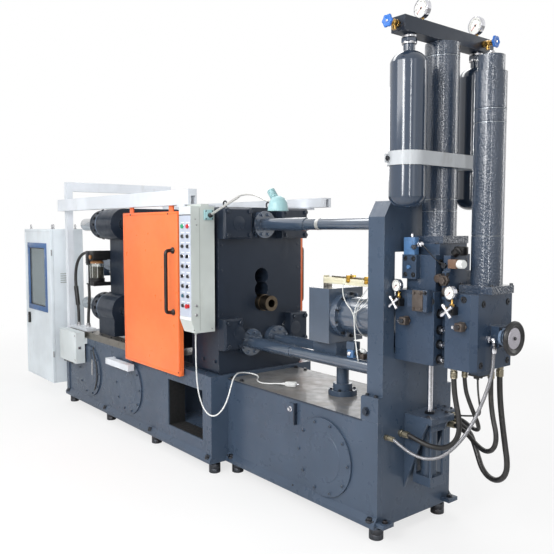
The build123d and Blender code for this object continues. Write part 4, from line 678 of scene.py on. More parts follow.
class MACHINE_OT_camera(bpy.types.Operator):
    """Sets the camera where the photograph was taken"""
    bl_idname = "machine.camera"
    bl_label = "Camera"

    def execute(self, context):
        data = bpy.data.cameras.new("camera")
        data.lens = context.scene.machine_stage.lens
        data.sensor_width = 36.0
        camera = bpy.data.objects.new("camera", data)
        camera.location = CAMERA_PLACE
        camera.rotation_euler = Euler([math.radians(a) for a in CAMERA_TURN])
        context.scene.collection.objects.link(camera)
        context.scene.camera = camera
        return {"FINISHED"}


def flexible(name, route, radius, finish, node):
    """A hose or cord: one smooth spline over the route's points."""
    points = [place(*spot) for spot in route]
    data = bpy.data.curves.new(name, "CURVE")
    data.dimensions = "3D"
    spline = data.splines.new("NURBS")
    spline.points.add(len(points) - 1)
    for point, spot in zip(spline.points, points):
        point.co = (*spot, 1.0)
    spline.order_u = 3
    spline.use_endpoint_u = True
    spline.resolution_u = 8
    data.bevel_depth = radius
    data.bevel_resolution = 5
    data.use_fill_caps = True
    data.materials.append(FINISHES[finish])
    piece = bpy.data.objects.new(name, data)
    bpy.context.scene.collection.objects.link(piece)
    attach(piece, "machine")
    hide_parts(node)
    return piece


class MACHINE_OT_hoses(bpy.types.Operator):
    """Lays the hydraulic hoses, the pump's hoses and the lamp's cord"""
    bl_idname = "machine.hoses"
    bl_label = "Hoses and cord"

    def execute(self, context):
        size = sizes()
        flexible("hose_lowest", HOSE_A, size.hose_a, "hose", "hose_a")
        flexible("hose_middle", HOSE_B, size.hose_b, "hose", "hose_b")
        flexible("hose_braided", HOSE_C, size.hose_c, "braid", "hose_c")
        flexible("hose_near", HOSE_D, size.hose_d, "hose", "hose_d")
        flexible("hose_short", HOSE_E, size.hose_e, "hose", "hose_e")
        flexible("switch_cable", CABLE_F, size.cable_f, "pump_hose", "cable_f")
        flexible("pump_hose_near", LUBE_NEAR, size.lube_hose, "pump_hose",
            "lube_hose_near")
        flexible("pump_hose_far", LUBE_FAR, size.lube_hose, "pump_hose",
            "lube_hose_far")
        end, before = Vector(POWER_CORD[-1]), Vector(POWER_CORD[-2])
        along = (end - before).normalized()
        across = along.cross(Z).normalized()
        start = end - Z * 13
        plug = Shape()
        outline = ((-4, 10), (12, 16), (30, 22), (62, 24), (72, 18))
        plug.panel([start + along * a + across * b for a, b in outline]
                   + [start + along * a - across * b for a, b in reversed(outline)], Z * 28, "cord", 4)
        plug.lathe(start + Z * 13 - along * 30, along, [
            (5.6, 0), (6.5, 4), (8.5, 20), (10.5, 32)], "cord", 20)
        for side in (-10, 10):
            plug.lathe(start + along * 71 + across * side + Z * 14, along, [
                (2.6, 0), (2.6, 18), (1.5, 19.5), (0, 19.5)], "chrome", 14)
        plug_piece = plug.done("cord_plug", stands_for=("power_plug",))
        flexible("lamp_cord", POWER_CORD, size.power_cord, "cord", "power_cord")
        return {"FINISHED"}


class MACHINE_OT_gauges(bpy.types.Operator):
    """Dial gauges on the gas bar and on the two needle valves"""
    bl_idname = "machine.gauges"
    bl_label = "Pressure gauges"

    def dial(self, shape, centre, facing, radius, depth):
        """A turned case with its bezel, white dial, ticks and needle."""
        facing = Vector(facing).normalized()
        back = centre - facing * depth / 2
        shape.lathe(back, facing, [(radius * 0.45, 0), (radius * 0.86, 0), (radius * 0.95, depth * 0.10),
            (radius * 0.95, depth * 0.62), (radius, depth * 0.68), (radius, depth * 0.92),
            (radius * 0.96, depth), (radius * 0.86, depth), (radius * 0.84, depth * 0.82)], "chrome", 36)
        face = back + facing * depth * 0.82
        shape.lathe(face, facing, [(radius * 0.84, 0), (radius * 0.84, 1.2), (0, 1.2)], "dial", 36)
        face += facing * 1.3
        for i in range(31):
            long = i % 5 == 0
            tick = (radius * (0.045 if long else 0.025), radius * (0.16 if long else 0.09), 0.6)
            shape.spoke(face, facing, math.radians(-135 + 9 * i),
                radius * (0.66 if long else 0.70), tick, "black")
        shape.spoke(face, facing, math.radians(-128), radius * 0.22,
            (radius * 0.05, radius * 0.85, 1), "red")
        shape.lathe(face, facing, [(radius * 0.10, 0), (radius * 0.09, 3), (0, 3)], "black", 16)

    def execute(self, context):
        shape = Shape()
        for y in (-182.4, 291.0):
            centre = Vector((BAR_X, y, BAR_TOP + 73))
            self.dial(shape, centre, GAUGE_FACING, 52, 34)
            foot = Vector((BAR_X, y, BAR_TOP))
            shape.prism(foot, Z, 14, 12, 6, "brass", 1)
            shape.lathe(foot, Z, [(10, 10), (8.5, 14), (8.5, 30)], "brass", 16)
        for _, x, y, z in NEEDLE_VALVES:
            side = Vector((0, -33, 0))
            top = Vector((x, y, z)) + side + Vector((0, 0, 91))
            self.dial(shape, top, GAUGE_FACING, 36, 26)
            base = Vector((x, y, z))
            shape.box(base + Vector((-22, -44, -22)), base + Vector((22, 0, 22)), "black", 4)
            shape.prism(base + side * 0.66 + Vector((0, 0, 22)), Z, 13, 12, 6, "brass", 1)
            shape.lathe(base + side * 0.66 + Vector((0, 0, 34)), Z, [(8, 0), (6, 4), (6, 24)], "brass", 14)
            shape.prism(base + Vector((0, -44, 0)), NEAR, 14, 6, 6, "screw", 1)
            shape.lathe(base + Vector((0, -50, 0)), NEAR, [(8, 0), (8, 7)], "chrome", 14)
        shape.done("dial_gauges", stands_for=("pressure_gauges",))
        for end, x, face, z in NEEDLE_VALVES:
            name = "cross_handle_" + end
            handle = Shape()
            hub = Vector((x, face - 67, z))
            handle.lathe(hub - NEAR * 8, NEAR, [(10, 0), (13, 3), (13, 12), (9, 17), (0, 18)], "chrome", 18)
            for arm in around((0, 0, 0), "y", 1, 4, 38):
                handle.lathe(
                    hub, arm, [(8, 6), (7.6, 16), (9.4, 28), (10, 35), (8, 41), (0, 42)], "chrome", 14)
            handle.done(name + "_turned", name, (name,), 50)
        return {"FINISHED"}


class MACHINE_OT_gas_fittings(bpy.types.Operator):
    """Brass bottle valves with lobed knobs, collars, strap bolts and bar bolts"""
    bl_idname = "machine.gas_fittings"
    bl_label = "Gas valves and straps"

    def knob(self, name, base, axis):
        shape = Shape()
        shape.lathe(base, axis, [(12, 0), (24, 1), (33, 3), (34, 6), (34, 11), (31, 15), (18, 16), (13, 13),
            (0, 13)], "knob", 60, lobes=(6, 0.16))
        shape.lathe(Vector(base) + axis * 13, axis, [(6, 0), (6, 2), (0, 2.5)], "chrome", 14)
        shape.done(name + "_knob", name, (name,), 45)

    def valve(self, shape, base, axis, length):
        """A brass valve body with its hexagons and side outlet."""
        base = Vector(base)
        shape.prism(base, axis, 18.5, length * 0.22, 6, "brass", 1.5)
        shape.lathe(base, axis, [(15, length * 0.22), (16.5, length * 0.28), (16.5, length * 0.55),
            (13, length * 0.60), (13, length * 0.70), (16, length * 0.73), (16, length * 0.88),
            (8, length * 0.92), (8, length)], "brass", 24)
        outlet = base + axis * length * 0.42
        shape.lathe(outlet, DOWN, [(9, 12), (9, 24), (12, 25), (12, 34), (0, 34)], "brass", 18)

    def execute(self, context):
        shape = Shape()
        self.valve(shape, (BAR_X, -372, VALVE_Z), NEAR, 70)
        self.valve(shape, (195, 291, VALVE_Z), X, 70)
        self.valve(shape, (BAR_X, 392, VALVE_Z), Y, 34)
        shape.done("bottle_valves", stands_for=("gas_valves",))
        self.knob("valve_wheel_near", (BAR_X, -443, VALVE_Z), NEAR)
        self.knob("valve_wheel_far", (266, 291, VALVE_Z), X)

        trim = Shape()
        for y in (-285, 291):
            for low, high in ((2672, 2684), (2704, 2716)):
                trim.lathe((BAR_X, y, low), Z, [
                    (36, 0), (37.5, 1), (37.5, high - low - 1), (36, high - low)], "satin", 36)
        for y in (-395, -175, 181, 401):
            trim.box((101.5, y - 13, 2074), (108.5, y + 13, 2118), "strap", 2)
            trim.hex_screw((108, y, 2096), X, 10)
        for y in (-330, -120, 60, 250, 350):
            trim.socket_screw((BAR_X, y, BAR_TOP), Z, 11)
        # Thin pale rings at the bottles' seams: painted highlight along the seam edges
        for x, y, radius, heights in ((140, 0, 93.6, (1828, 1892, 2647)),
                (443, 0, 80.6, (1698, 2265, 2332))):
            for z in heights:
                trim.lathe((x, y, z + 1.5), Z, [(radius, 0), (radius, 1.4)], "seam", 60)
        for dx, dy in ((-88, -88), (88, -88), (88, 88), (-88, 88)):
            trim.socket_screw((443 + dx, dy, 1448), Z, 9)
        trim.lathe((443, 0, 2603), Z,
            [(30, 0), (30, 10), (24, 14), (16, 14), (16, 24), (0, 26)], "satin", 24)
        trim.done("gas_trim")
        return {"FINISHED"}


class MACHINE_OT_handwheel(bpy.types.Operator):
    """Black handwheel with its bright disc, spindle nuts and flange"""
    bl_idname = "machine.handwheel"
    bl_label = "Handwheel"

    def execute(self, context):
        wheel = Shape()
        hub = Vector((594, 0, WHEEL_Z))
        wheel.lathe(hub, X, [(17, 0), (40, 2), (62, 4), (74, 2), (83, 4), (88, 11), (87, 19), (81, 25),
            (72, 26), (64, 22), (59, 16), (54, 14)], "black", 56)
        wheel.lathe(hub + X * 12, X, [(54.5, 0), (54.5, 4), (52.5, 6), (12, 7), (0, 7)], "disc", 48)
        wheel.lathe(hub + X * 19, X, [(9, 0), (9, 4), (7, 6), (0, 6)], "screw", 20)
        wheel.lathe((584, 0, WHEEL_Z), X, [(19, 0), (21, 2), (21, 9), (17, 10.5)], "screw", 24)
        wheel.done("handwheel_dished", "handwheel", ("handwheel",))

        trim = Shape()
        base = Vector((546, 0, WHEEL_Z))
        trim.lathe(base, X, [(45, 0), (45, 10), (42, 13), (31, 13), (29, 16), (17, 16)], "satin_blue", 40)
        trim.prism(base + X * 13, X, 26, 10, 6, "screw", 1.5)
        trim.lathe(base + X * 23, X, [(16.5, 0), (19, 2), (19, 6), (15.5, 8)], "chrome", 24)
        for y in (-24, 42):
            for z in (1148, 1232):
                trim.socket_screw((546, y, z), X, 6)
        trim.done("wheel_flange")
        return {"FINISHED"}


class MACHINE_OT_hose_ends(bpy.types.Operator):
    """Crimped ferrules, nuts, the bright elbow and the bulkhead block"""
    bl_idname = "machine.hose_ends"
    bl_label = "Hose ends"

    def ferrule(self, shape, base, axis, radius, length):
        """Hexagon nut, neck and crimped sleeve; the hose's radius comes in metres."""
        radius /= MM
        nut = length * 0.26
        shape.prism(base, axis, radius + 6.5, nut, 6, "zinc", 1.2)
        outline = [(radius * 0.9, nut), (radius * 0.9, length * 0.34), (radius + 4.5, length * 0.36)]
        for i in range(4):
            low = length * (0.40 + 0.14 * i)
            outline += [(radius + 5, low), (radius + 5, low + length * 0.08),
                (radius + 3.5, low + length * 0.10), (radius + 3.5, low + length * 0.12)]
        outline += [(radius + 4.5, length * 0.98), (radius + 2, length)]
        shape.lathe(base, axis, outline, "zinc", 24)

    def execute(self, context):
        size = sizes()
        shape = Shape()
        for x, y, radius in ((470, 100, size.hose_a), (470, 20, size.hose_b), (345, -125, size.hose_d),
                             (365, -60, size.hose_e)):
            self.ferrule(shape, (x, y, 1018), DOWN, radius, 58)
        shape.box((0, 132, 575), (92, 254, 680), "blue", 3)
        for x in (22, 70):
            for y in (150, 236):
                shape.socket_screw((x, y, 680), Z, 7)
        for y, z, radius in ((215, 610, size.hose_a), (165, 610, size.hose_b), (165, 660, size.hose_e),
                             (215, 658, size.cable_f)):
            self.ferrule(shape, (92, y, z), X, radius, 58)
        for y, radius in ((-262, size.hose_c), (-138, size.hose_d)):
            self.ferrule(shape, (0, y, 590), X, radius, 62)
        shape.prism((500, -55, 1178), X, 19, 10, 6, "chrome", 1.5)
        shape.pipe([(508, -55, 1178), (530, -55, 1180), (530, -55, 1146)], 11.5, "chrome", 16)
        shape.prism((530, -55, 1150), DOWN, 14.5, 12, 6, "chrome", 1)
        shape.lathe((530, -55, 1138), DOWN, [(11, 0), (14, 2), (14, 24), (12, 28)], "chrome", 20)
        for y, z in ((-380, 1505), (-345, 1465)):
            shape.prism((-3606, y, z), -X, 21, 12, 6, "satin", 1.5)
            shape.lathe((-3618, y, z), -X, [(16, 0), (18, 2), (18, 14)], "satin", 20)
        for x, y in ((-3870, -408), (-3726, -372)):
            shape.prism((x, y, 785), Z, 22, 14, 6, "satin", 1.5)
            shape.lathe((x, y, 799), Z, [(16, 0), (19, 3), (19, 18), (17, 20)], "satin", 20)
        shape.done("hose_ends", stands_for=("hose_fittings",))
        return {"FINISHED"}


class MACHINE_OT_block_fittings(bpy.types.Operator):
    """Screws, plugs, pilot valve, sensors and solenoid on the hydraulic blocks"""
    bl_idname = "machine.block_fittings"
    bl_label = "Block fittings"

    def sunk_screw(self, shape, base, axis, radius):
        """A socket screw down in its counterbore."""
        shape.lathe(base, axis,
            [(radius * 1.42, 0), (radius * 1.38, 1.2), (radius * 1.18, 1.2)], "shadow", 24)
        shape.lathe(base, axis, [(radius, 0), (radius, 4), (radius * 0.9, 5), (radius * 0.56, 5),
            (radius * 0.5, 1.5), (0, 1.5)], "screw", 20)

    def side_plug(self, shape, x, y, z):
        """A square fitting with a plug on its left and a hexagon in front."""
        base = Vector((x, y, z))
        shape.prism(base, NEAR, 27, 10, 6, "rusty", 2)
        shape.box(base + Vector((-20, -44, -22)), base + Vector((22, -8, 20)), "rusty", 3)
        shape.prism(base + Vector((1, -44, 0)), NEAR, 14, 10, 6, "screw", 1.5)
        arm = base + Vector((-20, -26, -6))
        shape.prism(arm, -X, 13, 8, 6, "screw", 1)
        shape.lathe(arm - X * 8, -X, [(9, 0), (11.5, 2), (11.5, 14), (8, 17), (0, 17)], "chrome", 18)

    def pilot(self, shape):
        shape.box((48, -187, 1597), (124, -149, 1692), "pilot", 4)
        shape.box((60, -190, 1622), (112, -186, 1672), "pilot", 1)
        for x, z in ((60, 1577), (114, 1577), (60, 1490), (114, 1490)):
            self.sunk_screw(shape, (x, -184, z), NEAR, 10)
        shape.prism((87, -184, 1532), NEAR, 12, 12, 6, "pilot", 1)
        shape.lathe((124, -168, 1652), Vector((0.92, -0.38, 0.06)), [
            (10, 0), (10, 10), (14, 11), (14, 30), (11, 32), (11, 38), (13.5, 39),
            (13.5, 52), (10, 55), (0, 55)], "chrome", 22)
        shape.lathe((112, -187, 1640), Vector((0.80, -0.60, -0.04)),
            [(9, 0), (9, 10), (13, 11), (13, 28), (10, 30), (10, 40), (0, 41)], "screw", 22)
        shape.pipe([(173, -187, 1652), (200, -196, 1640), (236, -175, 1590), (262, -150, 1560),
                    (290, -136, 1545), (322, -132, 1556)], 3, "black", 8)
        shape.lathe((92, -168, 1692), Z, [(8, 0), (8, 16), (5, 20), (0, 20)], "chrome", 16)

    def solenoid(self, shape):
        shape.box((313, -154, 1532), (366, -104, 1580), "rust_paint", 4)
        shape.lathe((366, -130, 1556), Vector((1, -0.25, 0)), [
            (16, 0), (23, 2), (23, 34), (19, 40), (0, 41)], "pale", 26)
        shape.lathe((300, -20, 1597), Z, [(34, 0), (36, 3), (36, 42), (30, 46), (0, 47)], "black", 32)
        shape.lathe((313, -100, 1604), Vector((0.8, 0, 0.6)),
            [(20, 0), (22, 3), (22, 30), (16, 34), (0, 34)], "black", 26)
        shape.prism((291, -140, 1468), NEAR, 30, 20, 6, "rusty", 2)
        shape.prism((291, -160, 1468), NEAR, 20, 14, 6, "rusty", 2)
        shape.prism((300, -140, 1412), NEAR, 22, 16, 6, "rusty", 2)
        shape.box((321, -150, 1408), (338, 60, 1418), "worn", 2)
        shape.prism((276, -128, 1545), NEAR, 16, 14, 6, "screw", 1)
        for x, z in ((277, 1496), (306, 1500), (277, 1392), (306, 1386)):
            self.sunk_screw(shape, (x, -140, z), NEAR, 7.5)
        shape.box((236, -142, 1452), (262, -96, 1500), "rusty", 4)
        shape.lathe((249, -142, 1476), NEAR, [(19, 0), (21, 2), (21, 12), (15, 16), (0, 16)], "rusty", 22)

    def execute(self, context):
        shape = Shape()
        large = sizes().screw_radius / MM
        self.side_plug(shape, 83, LEFT_FACE, 1243)
        self.side_plug(shape, 430, RIGHT_FACE, 1246)
        for x, z in ((246, 1358), (22, 1386)):
            self.sunk_screw(shape, (x, LEFT_FACE, z), NEAR, large)
        for x, z in ((433, 1381), (344, 1381)):
            self.sunk_screw(shape, (x, RIGHT_FACE, z), NEAR, large)
        for y, z in ((-104, 1359), (110, 1359), (-118, 1050), (118, 1050)):
            self.sunk_screw(shape, (500, y, z), X, large)
        for z in (1292, 1207, 1129, 1051):
            base = Vector((262, -146, z))
            shape.lathe(base, X, [(26, 0), (26, 4), (24, 5)], "screw", 28)
            shape.prism(base + X * 5, X, 22, 16, 6, "screw", 2)
            shape.lathe(base + X * 21, X, [(15, 0), (15, 6), (12, 9), (6, 9), (5, 6), (0, 6)], "chrome", 20)
        shape.box((152, -238, 1302), (250, -189, 1420), "block", 6)
        shape.box((157, -243, 1306), (226, -237, 1416), "rusty", 2)
        shape.hex_screw((239, -238, 1404), NEAR, 8, "screw")
        for x, z in ((170, 1320), (213, 1320), (170, 1402), (213, 1402)):
            shape.hex_screw((x, -243, z), NEAR, 8, "rusty")
        self.pilot(shape)
        self.solenoid(shape)
        for y in (-110, 110):
            for x in (66, 214):
                self.sunk_screw(shape, (x, y, 1658), Z, 11)
            self.sunk_screw(shape, (236, y, 1560), X, 12)
            self.sunk_screw(shape, (236, y, 1450), X, 12)
        for x, y in ((222, -100), (222, 90)):
            shape.lathe((x, y, 1658), Z, [(10, 0), (10, 18), (6, 22), (0, 22)], "screw", 18)
        for x, y in ((430, -62), (455, -75), (446, -32)):
            shape.lathe((x, y, 984), DOWN, [(11, 0), (11, 8), (8, 10), (8, 18), (5, 20)], "black", 18)
        shape.box((410, -97, 982), (484, 2, 990), "black", 2)
        shape.done("block_fittings")
        return {"FINISHED"}


class MACHINE_OT_control_box(bpy.types.Operator):
    """Push buttons, selector knobs, front plate and side screws of the control box"""
    bl_idname = "machine.control_box"
    bl_label = "Control box"

    def spot(self, column, row):
        """Where a button or knob sits on the front plate."""
        return Vector((-1552 + 67 * column, -607.5, 1752 - 68.3 * row))

    def flush_button(self, shape, spot, finish):
        shape.lathe(spot, NEAR, [(18, 0), (18, 3), (16, 4.5), (15.2, 4.5)], "chrome", 26)
        shape.lathe(spot, NEAR, [(15, 0), (15, 10), (13.2, 12.5), (0, 13)], finish, 26)

    def selector(self, shape, spot, turn):
        shape.lathe(spot, NEAR, [(14.5, 0), (14.5, 3), (12.5, 5), (12, 5)], "chrome", 26)
        shape.lathe(spot, NEAR, [(12, 0), (12, 9), (10.5, 11), (0, 11)], "black", 26)
        shape.turned_box(spot + NEAR * 10, NEAR, (7.5, 24, 10), "black", 1.5, turn)

    def small_button(self, shape, spot, finish):
        shape.lathe(spot, NEAR, [(15, 0), (15, 3), (13.5, 4.5), (12.5, 4.5)], "satin", 26)
        shape.lathe(spot, NEAR, [(12.2, 0), (12.2, 11), (10.8, 13), (0, 13.5)], finish, 26)

    def execute(self, context):
        shape = Shape()
        kinds = ("aa", "ss", "ss", "kk", "sk", "ks", "sk", "gs", "sm")
        for row, pair in enumerate(kinds):
            for column, kind in enumerate(pair):
                spot = self.spot(column, row)
                if kind == "a":
                    self.flush_button(shape, spot, ("green", "red")[column])
                elif kind == "k":
                    self.selector(shape, spot, math.radians(-18 if column else 14))
                elif kind == "m":
                    shape.lathe(spot, NEAR, [(14.5, 0), (14.5, 3), (10, 5), (10, 10), (15, 13), (16.5, 18),
                        (15, 23), (8, 26), (0, 26.5)], "red", 30)
                else:
                    self.small_button(shape, spot, "black" if kind == "s" else "teal")
        shape.done("push_buttons_set", stands_for=("push_buttons",))

        trim = Shape()
        trim.box((-1597, -608, 1132), (-1452, -605, 1826), "plate", 1)
        for row in range(9):
            for column in range(2):
                x, _, z = self.spot(column, row) + Z * 26
                trim.box((x - 21, -609, z - 4), (x + 21, -607, z + 4), "label", 0.5)
        trim.box((-1600, -609.5, 1108), (-1452, -605, 1129), "label", 1)
        trim.box((-1600, -609, 1832), (-1452, -605, 1886), "white", 2)
        trim.box((-1602, -608, 1826.5), (-1450, -605, 1831), "shadow", 0)
        for z in (1210, 1145):
            trim.lathe((BOX_SIDE, -567, z), X, [(10, 0), (10, 2), (6, 4), (6, 10), (0, 11)], "satin", 20)
        for y, z in ((-570, 1800), (-560, 1761), (-440, 1040), (-586, 1040)):
            trim.lathe((BOX_SIDE, y, z), X, [(5, 0), (4, 2), (0, 2)], "satin", 14)
        trim.box((-1451, -539, 1035), (-1448.6, -536, 1876), "seam_shade", 0)
        trim.prism((-1562, -505, 1018), DOWN, 15, 12, 6, "black", 1.5)
        trim.lathe((-1562, -505, 1006), DOWN, [(12, 0), (12, 6), (7, 13), (6, 14)], "black", 20)
        trim.done("control_plate")
        return {"FINISHED"}


class MACHINE_OT_work_lamp(bpy.types.Operator):
    """Mint work lamp: bracket, ball joint, bent arm, ribbed neck and open shade"""
    bl_idname = "machine.work_lamp"
    bl_label = "Work lamp"

    def execute(self, context):
        shape = Shape()
        shape.box((BOX_SIDE, -505, 1795), (-1430, -435, 1865), "mint", 5, 3)
        shape.box((-1432, -494, 1806), (-1424, -446, 1854), "mint", 3)
        for y in (-496, -444):
            for z in (1804, 1856):
                shape.lathe((-1430, y, z), X, [(5, 0), (5, 2), (2, 3), (0, 3)], "screw", 14)
        shape.lathe((-1426, -470, 1824), Vector((0.95, 0, 0.31)), [
            (14, 0), (17, 4), (17, 16), (12, 22), (9.5, 30), (9.5, 34)], "black", 24)
        shape.lathe((-1404, -470, 1833), Vector((-1082, -470, 1943)) - Vector((-1404, -470, 1833)), [
            (8.5, 0), (8.5, 336), (6.5, 342)], "pale_metal", 20)
        shape.pipe([(-1086, -470, 1941), (-1058, -470, 1950), (-982, -470, 1954), (-880, -472, 1940),
            (-800, -474, 1906), (-745, -478, 1902)], 5.2, "pale_metal", 14)
        centre = Vector((-682, -470, 1843))
        shape.lathe(centre, Z, [(0, 84), (22, 81), (38, 70), (50, 50), (56, 24), (58.5, 0), (62, -0.8),
            (63.2, 4), (61, 8), (59.5, 26), (53, 53), (40, 75), (22, 87), (0, 89)], "mint", 48)
        neck = Vector((-698, -474, 1908))
        tilt = Vector((-0.52, -0.16, 0.84))
        outline = [(20, 0), (24, 4)]
        for i in range(5):
            low = 10 + 11 * i
            outline += [(24.5, low), (24.5, low + 6), (21.5, low + 7.5), (21.5, low + 9.5)]
        shape.lathe(neck, tilt, outline + [(24.5, 66), (20, 72), (0, 73)], "mint", 32)
        shape.lathe((-682, -470, 1892), DOWN, [
            (12, -12), (13, 0), (20, 10), (23, 20), (18, 30), (8, 35), (0, 36)], "pale", 28)
        shape.done("work_lamp_shaded", stands_for=("work_lamp",))
        return {"FINISHED"}


class MACHINE_OT_lubrication(bpy.types.Operator):
    """Lubrication pump with its jar, black head and back plate"""
    bl_idname = "machine.lubrication"
    bl_label = "Lubrication pump"

    def execute(self, context):
        shape = Shape()
        for low, high in ((1200, 1236), (1446, 1530)):
            shape.box((-3458, -430, low), (-3450, -200, high), "black", 2)
        shape.box((-3458, -262, 1236), (-3450, -200, 1446), "black", 2)
        shape.box((-3540, -300, 1212), (-3456, -272, 1232), "black", 3)
        centre = Vector((-3530, -360, 1200))
        shape.lathe(centre, Z,
            [(66, 0), (70, 4), (70, 30), (67, 34), (70, 38), (70, 68), (64, 72), (61, 72)], "black", 40)
        shape.lathe(centre, Z, [(58.5, 73), (58.5, 176), (0, 176)], "oil", 40)
        shape.lathe(centre, Z,
            [(61, 72), (62.8, 78), (62.8, 200), (60, 208), (58.5, 208), (60, 198), (60, 72)], "jar", 40)
        # Four thin pale rods on the jar's near side: painted highlight standing for the bright stripe down
        # the jar
        for foot in around(centre, "z", 63, 4, -20, -45):
            shape.lathe(foot + Z * 78, Z, [(2.5, 0), (2.5, 118), (0, 120)], "pale", 10)
        shape.lathe(centre, Z, [(50, 206), (62, 209), (62, 226), (52, 232), (44, 240)], "amber", 36)
        shape.box((-3606, -434, 1438), (-3459, -286, 1450), "black", 3)
        shape.box((-3600, -430, 1450), (-3459, -290, 1520), "black", 6)
        shape.box((-3606, -420, 1462), (-3596, -300, 1512), "black", 2)
        shape.box((-3604, -440, 1404), (-3548, -424, 1526), "screw", 4)
        for i in range(7):
            z = 1412 + i * 16
            shape.box((-3600, -443, z), (-3552, -438, z + 7), "screw", 1)
        for i in range(5):
            y = -410 + i * 24
            shape.box((-3590, y, 1519), (-3475, y + 8, 1527), "black", 1)
        for x in (-3588, -3474):
            for y in (-424, -298):
                shape.socket_screw((x, y, 1520), Z, 6)
        shape.lathe((-3500, -432, 1470), NEAR, [(19, 0), (21, 3), (21, 12), (14, 17), (0, 18)], "amber", 26)
        shape.box((-3604, -436, 1208), (-3552, -428, 1408), "black", 2)
        shape.box((-3600, -439, 1222), (-3556, -435, 1392), "label", 1)
        guard = Vector((-3916, -411, 1172))
        shape.lathe(guard, Vector((-3878, -409, 985)) - guard, [
            (16.5, 0), (21, 3), (21, 188), (16.5, 191)], "black", 24)
        shape.done("lubrication_pump", stands_for=("lube_pump",))
        return {"FINISHED"}


class MACHINE_OT_doors(bpy.types.Operator):
    """Handles, folded edges, roller bolts and lift holes of the guard doors; each lift hole is a thin dark
    disc of painted shade
    """
    bl_idname = "machine.doors"
    bl_label = "Guard doors"

    def handle(self, name, outer, side):
        shape = Shape()
        x, low, high = -1865, 1119, 1576
        out = outer + side * 62
        run = [(x, outer, low), (x, outer + side * 40, low), (x, out, low + 8), (x, out, low + 60),
               (x, out, high - 60), (x, out, high - 8), (x, outer + side * 40, high), (x, outer, high)]
        shape.pipe(run, 13.5, "black", 20)
        for z in (low, high):
            shape.lathe((x, outer, z), Y * side, [
                (24, 0), (24, 6), (21, 10), (16, 16), (13.5, 24)], "black", 28)
        shape.done(name + "_tube", name.replace("_handle", ""), (name,))

    def trim(self, body, outer, side):
        shape = Shape()
        depth = side * 2.2
        low, high = sorted((outer, outer + depth))
        for x0, x1, z0, z1 in ((-2666, -1794, 650, 668), (-2666, -1794, 1842, 1860),
                               (-2666, -2650, 668, 1842), (-1810, -1794, 668, 1842)):
            shape.box((x0, low, z0), (x1, high, z1), "orange", 0.8)
        # The lift hole is not cut: a thin dark disc of painted shade stands for it
        hole = Vector((-1803, outer + depth, 676))
        shape.lathe(hole, Y * side, [(6, 0), (6, 0.6), (0, 0.6)], "shadow", 18)
        for x in (-2530, -1930):
            shape.hex_screw((x, outer + side, 1846), Y * side, 7, "screw", False)
        edge_low, edge_high = sorted((outer, outer - side * 39))
        for z0, z1 in ((652, 690), (1820, 1858)):
            shape.box((-1791, edge_low + 4, z0), (-1788.5, edge_high - 4, z1), "orange", 0.8)
        for z in (700, 1100, 1500, 1810):
            shape.lathe((-1790, (edge_low + edge_high) / 2, z), X,
                [(5.5, 0), (4.5, 1.8), (0, 1.8)], "orange", 16)
        inside = outer - side * 39
        low, high = sorted((inside, inside - side * 2))
        for z in (900, 1380):
            shape.box((-2640, low, z), (-1820, high, z + 46), "orange", 0.8)
        shape.done(body + "_folds", body)

    def execute(self, context):
        self.handle("front_door_handle", FRONT_DOOR, -1)
        self.handle("rear_door_handle", REAR_DOOR, 1)
        self.trim("front_door", FRONT_DOOR, -1)
        self.trim("rear_door", REAR_DOOR, 1)
        return {"FINISHED"}


